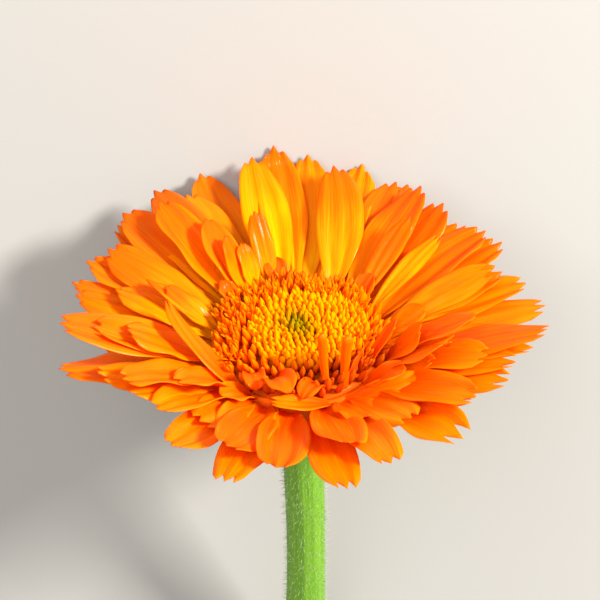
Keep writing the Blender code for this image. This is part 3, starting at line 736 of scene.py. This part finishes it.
def petal_finish(name):
    """A petal's skin: golden at its root and orange beyond, or on the near side deep orange at its
    root as painted shade and lighter beyond as painted light, finely lined along its length, with a
    duller underside."""
    *pairs, share, shine = PETAL_SKINS[name]
    yellow, orange, deep, lit = ((*pair, 0.0) for pair in pairs)
    inputs = {"Specular IOR Level": shine, "Specular Tint": PETAL_GLINT}
    inputs |= {"Coat Weight": shine * COAT_SHARE, "Coat Roughness": COAT_ROUGHNESS}
    made, tree, shader = new_material(name, PETAL_ROUGHNESS, inputs)
    names = ("along", "across", "tone", "near", "underside", "dull")
    along, across, tone, near, underside, dull = (attribute(tree, key) for key in names)
    place = xyz(tree, across, along, tone)
    lines, cells = grain(tree, place, LINES, 3.0), grain(tree, place, CELLS, 2.0)
    patches = grain(tree, place, PATCHES, 2.0)
    shifted = (tone - 0.5) * 0.3 + ((lines - 0.5) * 0.26 + along)
    # Away from the near side, golden at the root (partly the petal's own colour, partly painted
    # light), then orange beyond
    far_colour = blended(remap(shifted, 0.18, 0.8), yellow, orange)
    far_colour = blended(remap(along, 0.6, 1.0, 0.0, 0.5), far_colour, deep)
    # On the near side: painted shade, deep orange, at the root and painted light towards the tip
    colour = blended(near, far_colour, blended(remap(shifted, 0.25, 0.8), deep, lit))
    for factor, tint in (
        (remap(tone, 0.5, 1.0, 0.0, 0.6), deep),  # the deeper petals
        (remap(tone, 0.0, 0.35, 0.45, 0.0), blended(near, yellow, lit)),  # the brighter ones
        (remap(patches, 0.35, 0.75, 0.0, 0.45), deep),
        (remap(lines, 0.5, 0.72, 0.0, 0.2), deep),
        (remap(lines, 0.28, 0.45, 0.22, 0.0), yellow),
        (underside * 0.5, UNDERSIDE_TINT),
        (dull, DULL_TINT),
        # Painted light: the edges are paler, as if light shone through them
        (remap(across.math("ABSOLUTE"), 0.8, 1.0, 0.0, 0.65), lit),  # the paler edges
    ):
        colour = blended(factor, colour, tint)
    fed(shader, {"Base Color": colour})
    see_through(shader, colour, share, bumped(shader, cells * 0.3 + lines, 0.12 * MM))
    return made


def floret_finish(name, root, tip, green=None):
    """A floret's waxy skin, from its root colour to its tip colour, with painted shade where its
    shaded number is high.
    """
    inputs = {"Specular IOR Level": 0.22, "Specular Tint": FLORET_GLINT}
    made, tree, shader = new_material(name, 0.4, inputs)
    colour = blended(remap(attribute(tree, "along"), 0.1, 0.85), root, tip)
    colour = blended(attribute(tree, "tone") * 0.3, colour, root)
    # Painted shade, by each floret's shaded number
    colour = blended(attribute(tree, "shaded"), colour, PAINTED_SHADE_TINT)
    if green:
        colour = blended(attribute(tree, "green"), colour, green)
    fed(shader, {"Base Color": colour})
    bumped(shader, solid_grain(tree, 4000.0, 2.0), 0.03 * MM)
    see_through(shader, colour, 0.25, {})
    return made


def green_finish(name, light, dark, ribs, pith=0.0):
    """A green skin with darker and lighter streaks along it, and fine pale specks. The pith is how
    pale it is where it was cut."""
    made, tree, shader = new_material(name, 0.5, {"Specular IOR Level": 0.25})
    along = attribute(tree, "along")
    place = xyz(tree, attribute(tree, "around"), along)
    streaks = grain(tree, place, (ribs, ribs / 14, 1.0), 3.0)
    specks = solid_grain(tree, 2600.0, 1.0)
    colour = blended(remap(streaks, 0.3, 0.7), dark, light)
    colour = blended(remap(specks, 0.62, 0.75, 0.0, 0.35), colour, SPECK_TINT)
    colour = blended(remap(along, 0.0, 0.006, pith, 0.0), colour, PITH_TINT)
    fed(shader, {"Base Color": colour})
    bumped(shader, streaks + specks * 0.4, 0.08 * MM)
    return made


def hair_finish():
    made, _, shader = new_material("hair_pale", 0.4, {"Base Color": HAIR_PALE})
    see_through(shader, HAIR_PALE, 0.4, {})
    return made


# Grown pieces


def new_tree(name, sizes):
    """A Geometry Nodes tree with a named input for its geometry and each size, and a function that
    looks them up."""
    tree = bpy.data.node_groups.new(name, "GeometryNodeTree")
    tree.interface.new_socket("Geometry", in_out="INPUT", socket_type="NodeSocketGeometry")
    for size, value in sizes.items():
        kind = "NodeSocketInt" if isinstance(value, int) else "NodeSocketFloat"
        tree.interface.new_socket(size, in_out="INPUT", socket_type=kind)
    tree.interface.new_socket("Geometry", in_out="OUTPUT", socket_type="NodeSocketGeometry")
    sockets = tree.nodes.new("NodeGroupInput").outputs
    return tree, lambda size: Value(sockets[size])


def grown(name, base, geometry, library, sizes, finish):
    """Ends a tree by making its instances real and giving them their material, runs it on an
    object, drops the template shapes and returns the result as a plain mesh piece."""
    tree = geometry.tree
    real = step(tree, "GeometryNodeRealizeInstances", {"Geometry": geometry})
    inputs = {"Geometry": real, "Material": finish}
    step(tree, "NodeGroupOutput", {0: step(tree, "GeometryNodeSetMaterial", inputs)})
    grower = base.modifiers.new(name, "NODES")
    grower.node_group = tree
    for socket in tree.interface.items_tree:
        if socket.in_out == "INPUT" and socket.name in sizes:
            grower[socket.identifier] = sizes[socket.name]
    graph = bpy.context.evaluated_depsgraph_get()
    mesh = bpy.data.meshes.new_from_object(base.evaluated_get(graph), depsgraph=graph)
    base.modifiers.remove(grower)
    for template in list(library.objects):
        bpy.data.objects.remove(template)
    bpy.data.collections.remove(library)
    mesh.name = name
    mesh.shade_smooth()
    return shown(name, mesh)


def seeded(given, low, high, offset):
    """A random number for each point or instance, from the tree's seed and an offset."""
    seed = given("Seed")
    inputs = {"Seed": seed + float(offset), 2: low, 3: high}
    return step(seed.tree, "FunctionNodeRandomValue", inputs, 1, data_type="FLOAT")


def planted(points, library, inputs):
    """A shape from the library on every point."""
    source = {"Collection": library, "Separate Children": True, "Reset Children": True}
    shapes = step(points.tree, "GeometryNodeCollectionInfo", source)
    inputs = {"Points": points, "Instance": shapes} | inputs
    return step(points.tree, "GeometryNodeInstanceOnPoints", inputs)


def marked(geometry, name, value):
    """The instances with a named number on each."""
    inputs = {"Geometry": geometry, "Name": name, "Value": value}
    settings = {"domain": "INSTANCE", "data_type": "FLOAT"}
    return step(geometry.tree, "GeometryNodeStoreNamedAttribute", inputs, **settings)


def aimed(direction):
    """The rotation that turns a shape's +Z this way."""
    kind = "FunctionNodeAlignRotationToVector"
    return step(direction.tree, kind, {"Vector": direction}, axis="Z")


def shape_library(name, shapes):
    """Template shapes in a collection that a tree can pick from."""
    library = bpy.data.collections.new(name)
    bpy.context.scene.collection.children.link(library)
    for i, (points, faces, along) in enumerate(shapes):
        template = mesh_piece(f"{name}_{i}", points, faces, {"along": along}, template=True)
        library.objects.link(template)
    return library


# Disc


def disc_height(radius):
    """The disc's surface: a low dome that falls away to its rim."""
    return DISC_TOP - DISC_FALL * (radius / DISC_RADIUS) ** 2


BUD_SIDES = 10
BUD_FOLD = 0.09
BUD_PROFILE = ((0.0, 0.75), (0.38, 0.98), (0.6, 0.94), (0.8, 0.62), (0.93, 0.28))


def bud_shape(hook, fullness=1.0):
    """A closed bud of unit height: five folded lobes that meet in a point."""
    return hooked_shape(BUD_PROFILE, BUD_SIDES, fullness, hook, BUD_FOLD, (hook * 1.2, 0, 1.04))


FLORET_SIDES = 20
LOBE = (0.0, 0.75, 1.0, 0.75)
ANTHER_SIDES = 5
TUBE_FLOOR = 0.4


def open_shape(spread, depth, style):
    """An open floret of unit height: a tube that parts into five pointed lobes, which spread or
    stay shut, with the anthers' column in it. Its rings go up its outside and down its inside."""
    split = 1 - depth
    rings = [(0.0, 0.3, 0, 0), (0.3, 0.42, 0, 0), (split, 0.62, 0, 0)]
    rings += [(split, 0.66, spread * 0.5, 0.6), (split, 0.66, spread, 1.0)]
    rings += [(split, 0.6, spread * 0.9, 0.93), (split, 0.52, spread * 0.4, 0.5)]
    rings += [(0.94 - depth, 0.48, 0, 0), (TUBE_FLOOR, 0.3, 0, 0)]
    points, along = [], []
    for height, radius, opening, part in rings:
        for j in range(FLORET_SIDES):
            reach = LOBE[j % len(LOBE)] * part
            turn, rise = 2 * pi * j / FLORET_SIDES, height + depth * reach
            points.append(polar(turn, radius + opening * reach, rise))
            along.append(rise)
    points += [(0, 0, 0), (0, 0, TUBE_FLOOR)]
    along += [0.0, 0.1]
    faces = turned_faces(len(rings), FLORET_SIDES)
    start = len(points)
    anthers = ((TUBE_FLOOR, 0.16), (0.85, 0.18), (0.95 + style, 0.1))
    for height, radius in anthers:
        points += circle(ANTHER_SIDES, radius, height)
    points += [(0, 0, TUBE_FLOOR), (0, 0, 1.0 + style)]
    along += [1.0] * (len(points) - start)
    columns = turned_faces(len(anthers), ANTHER_SIDES)
    faces += [tuple(start + k for k in face) for face in columns]
    return points, faces, along


# The sizes of both fields of florets: the closed buds', then the open florets'
FIELD_SIZES = {
    "Count": (290, 170),
    "Inner Reach": (0.0, 7.2 * MM),
    "Outer Reach": (8.1 * MM, 11.4 * MM),
    "First Turn": (0.0, 290.0),
    "Scatter": (0.06 * MM, 0.25 * MM),
    "Root Depth": (0.2 * MM, 0.3 * MM),
    "Lean": (0.35, 0.48),
    "Shift": (1.1 * MM, 0.0),
    "Squeeze": (0.92, 1.0),
    "Radius": (0.52 * MM, 0.95 * MM),
    "Length": (2.7 * MM, 3.5 * MM),
    "Inner Size": (0.78, 0.85),
    "Closed Shapes": (0.0, 2.0),
    "Closed Below": (-2.0, -0.6),
    "Seed": (3, 5),
}
LEAN_POWER = 1.6
TILT = 0.09
FULL_TURN = 6.283
SIZE_SCATTER = (0.88, 1.12)
# The green spot in the buds: its place, the direction it is drawn out in, its reach and slimness
GREEN_PLACE = (-0.4 * MM, 0.0, 4.2 * MM)
GREEN_HEADING = radians(-55)
GREEN_REACH = 4.8 * MM
GREEN_SLIMNESS = 1.7
# Where the florets are deeper in colour with painted shade, on the near side (which slants by a
# share of X) and far
SHADE_NEAR = 9.0 * MM
SHADE_SLANT = 0.3
SHADE_FAR = 10.0 * MM


def floret_field(name, shapes, finish, sizes):
    """Florets on a spiral: each a golden angle round from the one before, from the inner reach to
    the outer one, standing on the disc's dome and leaning out as they near its edge."""
    library = shape_library(name + "_shapes", shapes)
    tree, given = new_tree(name, sizes)
    index = step(tree, "GeometryNodeInputIndex")
    share = (index + 0.5) / given("Count")
    inner, outer = given("Inner Reach") ** 2.0, given("Outer Reach") ** 2.0
    area = (outer - inner) * share + inner
    reach = seeded(given, -1.0, 1.0, 1) * given("Scatter") + area.math("SQRT")
    angle = (index + given("First Turn")) * GOLDEN_ANGLE
    cosine, sine = angle.math("COSINE"), angle.math("SINE")
    part = reach / DISC_RADIUS
    height = DISC_TOP - part * part * DISC_FALL - given("Root Depth")
    place = xyz(tree, reach * cosine + given("Shift"), reach * sine * given("Squeeze"), height)
    points = step(tree, "GeometryNodePoints", {"Count": given("Count"), "Position": place})
    lean = part**LEAN_POWER * given("Lean")
    lean_x = lean * cosine + seeded(given, -TILT, TILT, 2)
    lean_y = lean * sine + seeded(given, -TILT, TILT, 3)
    spin = xyz(tree, z=seeded(given, 0.0, FULL_TURN, 4))
    inputs = {"Rotation": aimed(xyz(tree, lean_x, lean_y, 1.0)), "Rotate By": spin}
    rotation = step(tree, "FunctionNodeRotateRotation", inputs, rotation_space="LOCAL")
    size = share * (1.0 - given("Inner Size")) + given("Inner Size")
    size = size * seeded(given, *SIZE_SCATTER, 5)
    radius, length = given("Radius") * size, given("Length") * size
    # The library's last shapes are closed, and only they stand on the near side
    opened = len(shapes) - 0.001 - given("Closed Shapes")
    drawn = seeded(given, 0.0, 1.0, 6)
    shut = (1.0 - drawn) * given("Closed Shapes") + opened
    chosen = drawn * opened
    chosen = chosen + sine.math("LESS_THAN", given("Closed Below")) * (shut - chosen)
    inputs = {"Pick Instance": True, "Instance Index": chosen.math("FLOOR")}
    inputs |= {"Rotation": rotation, "Scale": xyz(tree, radius, radius, length)}
    florets = marked(planted(points, library, inputs), "tone", seeded(given, 0.0, 1.0, 7))
    position = step(tree, "GeometryNodeInputPosition")
    inputs = {"Vector": position, "Center": GREEN_PLACE, "Angle": -GREEN_HEADING}
    drawn_out = step(tree, "ShaderNodeVectorRotate", inputs, rotation_type="Z_AXIS")
    aside = vector("SUBTRACT", drawn_out, GREEN_PLACE)
    aside = vector("MULTIPLY", aside, (1.0, GREEN_SLIMNESS, 1.0))
    distance = vector("LENGTH", aside, (0.0, 0.0, 0.0), "Value")
    green = remap(distance, GREEN_REACH * 0.25, GREEN_REACH, 0.85, 0.0)
    x = step(tree, "ShaderNodeSeparateXYZ", {"Vector": position})
    y = x.beside("Y")
    # Painted shade on the near side and at the far edge, stored as each floret's shaded number
    near = remap(x * SHADE_SLANT - y, SHADE_NEAR * 0.6, SHADE_NEAR, 0.0, 0.8)
    far = remap(y, SHADE_FAR * 0.75, SHADE_FAR, 0.0, 0.4)
    florets = marked(marked(florets, "green", green), "shaded", near + far)
    holder = mesh_piece(name + "_base", [], [])
    piece = grown(name, holder, florets, library, sizes, finish)
    bpy.data.objects.remove(holder)
    piece.data.transform(Matrix(LAID))
    return piece


RING_SIDES = 96
RING_VALUES = {"tone": 0.5, "green": 0.3, "dull": 0.3}


def turned_piece(name, profile, shaded=0.3):
    """A closed ring or dome of this profile, in millimetres, turned about the flower's axis. Its
    shaded share is how much painted shade a floret skin puts on it.
    """
    points, faces = [], []
    for k, (radius, height) in enumerate(profile):
        points += circle(RING_SIDES, radius * MM, height * MM)
        faces += wall(k * RING_SIDES, (k + 1) % len(profile) * RING_SIDES, RING_SIDES)
    values = dict.fromkeys(("along", "across", "around", "underside", "near"), 0.0)
    values |= RING_VALUES | {"shaded": shaded}
    values = {key: np.full(len(points), value) for key, value in values.items()}
    return mesh_piece(name, placed(points), faces, values)


# Stem

STEM_SIDES = 72
STEM_ROWS = 110
CUP_ROWS = 22
STEM_RIBS = 9
RIB_HEIGHT = 0.05 * MM
RIB_TWIST = 0.5
SWELL_HEIGHT = 0.05 * MM
SWELL_PITCH = 5.3 * MM
FLARE_LENGTH = 6 * MM
FLARE_WIDTH = 0.35 * MM
CUT_DEPTH = 0.3 * MM


def cup_radius(height):
    """The green cup's outer radius at a height, from the stem's neck up to its rim."""
    share = np.clip((height - NECK_HEIGHT) / (CUP_TOP - NECK_HEIGHT), 0, 1)
    return STEM_RADIUS + (CUP_RADIUS - STEM_RADIUS) * np.sin(np.pi / 2 * share) ** CUP_FULLNESS


def stem_skin():
    """The stem and its cup, softly ribbed along their length, with a cut end of pale pith."""
    stem_heights = np.linspace(-STEM_LENGTH, NECK_HEIGHT - 0.4 * MM, STEM_ROWS)
    heights = np.concatenate([stem_heights, np.linspace(NECK_HEIGHT, CUP_TOP, CUP_ROWS)])
    angles = np.arange(STEM_SIDES) * 2 * pi / STEM_SIDES
    flare = smooth((heights - NECK_HEIGHT + FLARE_LENGTH) / FLARE_LENGTH) * FLARE_WIDTH
    radii = cup_radius(heights) + flare * (heights < NECK_HEIGHT)
    radii = np.minimum(radii, CUP_RADIUS) - SWELL_HEIGHT
    share = np.clip((heights + STEM_LENGTH) / (STEM_LENGTH + NECK_HEIGHT), 0, 1)
    bow = STEM_BOW * np.sin(np.pi * share)
    turns = angles[None, :] + RIB_TWIST * share[:, None]
    ribs = RIB_HEIGHT * (np.cos(STEM_RIBS * turns) - 1)
    radius = (radii + SWELL_HEIGHT * np.sin(heights / SWELL_PITCH))[:, None] + ribs
    x = bow[:, None] + radius * np.cos(angles)
    z = np.repeat(heights[:, None], STEM_SIDES, axis=1)
    points = np.stack([x, radius * np.sin(angles), z], axis=-1).reshape(-1, 3)
    ends = UPWARDS * np.array([[CUT_DEPTH - STEM_LENGTH], [CUP_TOP]])
    values = {
        "along": np.append(np.repeat(share, STEM_SIDES), [0, 1]),
        "around": np.append(np.tile(angles / (2 * pi), len(heights)), [0, 0]),
    }
    faces = turned_faces(len(heights), STEM_SIDES)
    return mesh_piece("stem_skin", placed(np.vstack([points, ends])), faces, values)


BRACT_FOOT = 1.8 * MM
BRACT_FOOT_COVER = 0.95
BRACT_DROP = 1.35 * MM
BRACT_COLUMNS = 9
BRACT_ROWS = 18
BRACT_BEND_SCATTER = 0.02
BRACT_FLATTER = 0.75
# A bract's outline in shares of its length and width, its cupped edge, midrib and thickness
BRACT_ALONG = (0, 0.1, 0.4, 0.75, 1.0)
BRACT_WIDE = (0.5, 0.85, 1.0, 0.55, 0.0)
BRACT_SCATTER = (0.92, 1.0)
BRACT_CUP = 0.22 * MM
BRACT_RIB = 0.16 * MM
BRACT_RIB_WIDTH = 0.16
BRACT_THICKNESS = 0.13 * MM
# The length, as a share, of the bracts that would else show under the petals
SEEN_SHARE = 0.74


def bracts():
    """Two rows of narrow pointed leaves with a raised midrib. Each one's foot covers the ring that
    holds them and lies on the stem's cup."""
    draw = np.random.RandomState(SEED + 3)
    columns = np.linspace(-1, 1, BRACT_COLUMNS)
    stations = np.linspace(0, 1, BRACT_ROWS)
    outline = np.interp(stations, BRACT_ALONG, BRACT_WIDE)
    shells = []
    for i in range(BRACT_COUNT):
        row = i % 2
        angle = i * 2 * pi / BRACT_COUNT
        seen = sin(angle) < -0.3 and abs(cos(angle)) > 0.4
        length = BRACT_LENGTH * (1 - BRACT_SHORTER * row) * (SEEN_SHARE if seen else 1)
        length += BRACT_FOOT
        root_radius = BRACT_ROOT_RADIUS - BRACT_FOOT * BRACT_FOOT_COVER
        root = polar(angle, root_radius, BRACT_ROOT_HEIGHT - BRACT_DROP + BRACT_ROW_STEP * row)
        outward, across = polar(angle, 1, 0), polar(angle + pi / 2, 1, 0)
        bend = BRACT_RISE - BRACT_ARCH * (1 - BRACT_FLATTER * stations)
        bend = (bend + draw.uniform(-BRACT_BEND_SCATTER, BRACT_BEND_SCATTER))[:, None]
        wide = BRACT_WIDTH / 2 * np.maximum(outline, 0.02) * draw.uniform(*BRACT_SCATTER)
        heading = np.cos(bend) * outward + np.sin(bend) * UPWARDS
        middle = root + (stations * length)[:, None] * heading
        sheet = middle[:, None, :] + wide[:, None, None] * columns[None, :, None] * across
        cupped = BRACT_CUP * outline[:, None] * columns**2
        rib = BRACT_RIB * outline[:, None] * np.exp(-((columns / BRACT_RIB_WIDTH) ** 2))
        thick = BRACT_THICKNESS * (0.35 + 0.65 * outline[:, None]) * (1 - 0.5 * columns**4)
        top = sheet + (cupped + thick)[..., None] * UPWARDS
        bottom = sheet + (cupped - thick - rib)[..., None] * UPWARDS
        points, faces = shell(top, bottom)
        values = {
            "along": np.tile(np.repeat(stations, BRACT_COLUMNS), 2),
            "around": np.tile(columns, 2 * BRACT_ROWS) * 0.08 + i,
        }
        shells.append((placed(points), faces, values))
    return joined_shells("bract_leaves", shells)


HAIR_PROFILE = ((0.0, 1.0), (0.35, 0.75), (0.7, 0.45))
HAIR_SIDES = 3
HAIR_RADIUS = 0.03
HAIR_BEND = 0.22
HAIR_LEAN = 0.5
HAIR_LENGTHS = (0.45, 1.2)


def hairs_on(name, base, finish, sizes):
    """Short hairs scattered over a piece, standing out from its skin and leaning at random. None
    grow below the lowest height."""
    hair = hooked_shape(HAIR_PROFILE, HAIR_SIDES, HAIR_RADIUS, HAIR_BEND, 0.0, (HAIR_BEND, 0, 1.0))
    library = shape_library(name + "_shapes", [hair])
    tree, given = new_tree(name, sizes)
    inputs = {"Mesh": given("Geometry"), "Density": given("Density"), "Seed": given("Seed")}
    scattered = step(
        tree, "GeometryNodeDistributePointsOnFaces", inputs, distribute_method="RANDOM"
    )
    position = step(tree, "GeometryNodeInputPosition")
    height = step(tree, "ShaderNodeSeparateXYZ", {"Vector": position}, "Z")
    settings = {"data_type": "FLOAT", "operation": "LESS_THAN"}
    low = step(tree, "FunctionNodeCompare", {0: height, 1: given("Lowest")}, **settings)
    inputs = {"Geometry": scattered, "Selection": low}
    kept = step(tree, "GeometryNodeDeleteGeometry", inputs, domain="POINT")
    lean = xyz(tree, *(seeded(given, -HAIR_LEAN, HAIR_LEAN, offset) for offset in (1, 2, 3)))
    stood = vector("ADD", scattered.beside("Normal"), lean)
    length = given("Length") * seeded(given, *HAIR_LENGTHS, 4)
    hairs = planted(kept, library, {"Rotation": aimed(stood), "Scale": length})
    return grown(name, base, hairs, library, sizes, finish)


# Scene


# The camera's right, up and back directions, for the photograph's view of the bloom
RIGHT, NEAR, AXIS = turned([[1.0, 0, 0], [0, -1.0, 0], UPWARDS])
BACK = cos(VIEW_RISE) * NEAR + sin(VIEW_RISE) * AXIS
UP = cos(VIEW_RISE) * AXIS - sin(VIEW_RISE) * NEAR


def camera():
    middle = FRAME_PIXELS / 2
    offset = RIGHT * (middle - HEAD_PIXEL[0]) * PIXEL + UP * (HEAD_PIXEL[1] - middle) * PIXEL
    aim = placed([[0, 0, 0]])[0] + offset
    eye = bpy.data.cameras.new("photo_view")
    eye.sensor_width = 36.0
    eye.lens = eye.sensor_width * VIEW_DISTANCE / (FRAME_PIXELS * PIXEL)
    eye.clip_start = 0.01
    holder = bpy.context.scene.camera = shown("photo_view", eye)
    axes = Matrix([RIGHT, UP, BACK]).transposed().to_4x4()
    holder.matrix_world = Matrix.Translation(Vector(aim + BACK * VIEW_DISTANCE)) @ axes


def lamp(name, side, rise, nearness, distance, size, power, colour):
    """A soft square light aimed at the bloom, placed by shares of the camera's directions."""
    direction = unit(RIGHT * side + UP * rise + BACK * nearness)
    light = bpy.data.lights.new(name, "AREA")
    light.size, light.energy, light.color = size, power, colour
    place = placed([[0, 0, 4 * MM]])[0] + direction * distance
    facing = Vector(direction).to_track_quat("Z", "Y").to_matrix().to_4x4()
    shown(name, light).matrix_world = Matrix.Translation(Vector(place)) @ facing


FLOOR_REACH = 3
FLOOR_PALE = (0.34, 0.335, 0.326, 1)
SKY_PALE = (1.0, 0.97, 0.93, 1)
SKY_STRENGTH = 0.74


def surroundings():
    """A plain pale floor, soft lights and a pale sky."""
    corners = FLOOR_REACH * np.array([(-1, -1, 0), (1, -1, 0), (1, 1, 0), (-1, 1, 0)])
    floor = mesh_piece("floor", corners, [(0, 1, 2, 3)])
    floor.data.materials.append(new_material("floor_pale", 0.7, {"Base Color": FLOOR_PALE})[0])
    lamp("key", 0.8, 0.3, 0.72, 0.8, size=0.16, power=17.5, colour=(1.0, 0.96, 0.88))
    lamp("fill", -0.3, 0.1, 0.9, 0.9, size=0.6, power=4.8, colour=(1.0, 0.95, 0.88))
    world = bpy.data.worlds.new("sky")
    world.use_nodes = True
    fed(world.node_tree.nodes["Background"], {"Color": SKY_PALE, "Strength": SKY_STRENGTH})
    bpy.context.scene.world = world
    bpy.context.scene.view_settings.view_transform = "Standard"


def bloom():
    """The rays in three tiers, their ring, and the short petals round the disc."""
    petal_skin = petal_finish("petal_skin")
    rays = ray_layout()
    third = len(rays) // 3
    tiers = (("outer_rays", 0.8), ("middle_rays", 0.25), ("inner_rays", 0.1))
    for k, (name, dullest) in enumerate(tiers):
        petals = rays[k * third : (k + 1) * third if k < 2 else None]
        group = petal_group(name, petals, RAY_ROWS, SEED + k, dullest)
        finished(group, petal_skin, *RAY_PART)
    rim = short_petals(RIM_PETALS, RIM_PETAL_RADIUS, RAY_ROOT_HIGH)
    group = petal_group("rim_petals", rim, SHORT_ROWS, SEED + 11)
    finished(group, petal_finish("deep_painted_shade_skin"), *RAY_PART)
    ring = turned_piece("ray_ring", RAY_RING)
    finished(ring, petal_finish("ring_painted_shade_skin"), *RAY_PART)
    curled = short_petals(CURLED_PETALS, CURLED_PETAL_RADIUS, CURLED_PETAL_HEIGHT)
    group = petal_group("curled_petals", curled, SHORT_ROWS, SEED + 12)
    finished(group, petal_finish("curl_painted_shade_skin"), *FLORET_PART)
    finished(rolled_quills(), petal_skin, *FLORET_PART)


# How far the florets' bed starts beyond the buds' and lies below the disc's surface, and both
# beds' circles, in shares of the buds' radius or millimetres
BED_GAP = 0.3
BED_DEPTH = 0.3
BUD_BED_STEPS = (1.0, 0.8, 0.6, 0.4, 0.2, 0.02)
FLORET_BED_STEPS = (10.5, 9.4, 8.3)


def disc():
    """The fields of buds and florets, and the beds that they stand on."""
    gold = floret_finish("bud_gold_skin", (0.95, 0.24, 0.0), (1.0, 0.34, 0.0), (0.22, 0.2, 0.0))
    orange = floret_finish("floret_orange_skin", (0.95, 0.09, 0.0), (1.0, 0.23, 0.0))
    buds = [bud_shape(0.25), bud_shape(0.6), bud_shape(0.0)]
    florets = [open_shape(0.45, 0.4, 0.1), open_shape(0.1, 0.35, 0.0), bud_shape(0.4, 0.5)]
    florets += [open_shape(0.8, 0.45, 0.15), bud_shape(-0.3, 0.55)]
    florets += [open_shape(-0.25, 0.4, -0.2), bud_shape(0.3, 0.5), bud_shape(-0.2, 0.56)]
    fields = [("golden_buds", buds, gold, BUD_PART)]
    fields += [("orange_florets", florets, orange, FLORET_PART)]
    for k, (name, shapes, finish, part) in enumerate(fields):
        sizes = {key: pair[k] for key, pair in FIELD_SIZES.items()}
        finished(floret_field(name, shapes, finish, sizes), finish, *part)
    base, edge = DISC_BASE / MM, BUD_RADIUS / MM
    profile = [(BUD_BED_STEPS[-1], base), (edge, base)]
    for radius in [edge * share for share in BUD_BED_STEPS]:
        profile.append((radius, disc_height(radius * MM) / MM))
    # The bud bed keeps the default shaded share of 0.3: painted shade under the buds
    finished(turned_piece("bud_bed", profile), gold, *BUD_PART)
    inner, rim = edge + BED_GAP, disc_height(DISC_RADIUS) / MM
    profile = [(inner, base), (9.1, base), (11.72, rim - 0.75), (11.85, rim - 0.3)]
    for radius in (*FLORET_BED_STEPS, inner):
        profile.append((radius, disc_height(radius * MM) / MM - BED_DEPTH))
    bed = turned_piece("floret_bed", profile, 1.0)
    finished(bed, petal_finish("floret_bed_painted_shade_skin"), *FLORET_PART)


LOWEST_HAIR = 0.9 * MM


def greens():
    """The stem, the bracts with their ring, and the hairs on both."""
    light, dark = (0.15, 0.32, 0.015), (0.095, 0.245, 0.011)
    stem_green = green_finish("stem_skin_green", light, dark, 60.0, 0.9)
    leaf_green = green_finish("bract_skin_green", (0.16, 0.34, 0.06), (0.07, 0.2, 0.03), 40.0)
    pale = hair_finish()
    stalk, leaves = stem_skin(), bracts()
    finished(stalk, stem_green, "stem_green", "stem")
    finished(leaves, leaf_green, *BRACT_PART)
    finished(turned_piece("bract_ring", BRACT_RING), leaf_green, *BRACT_PART)
    sizes = {"Density": 3.2e6, "Length": 0.9 * MM, "Lowest": LOWEST_HAIR, "Seed": 21}
    finished(hairs_on("stem_hairs", stalk, pale, sizes), pale, "stem_green")
    sizes = {"Density": 5.0e6, "Length": 0.5 * MM, "Lowest": LOWEST_HAIR, "Seed": 22}
    finished(hairs_on("bract_hairs", leaves, pale, sizes), pale, "bract_green")


camera()
surroundings()
bloom()
disc()
greens()
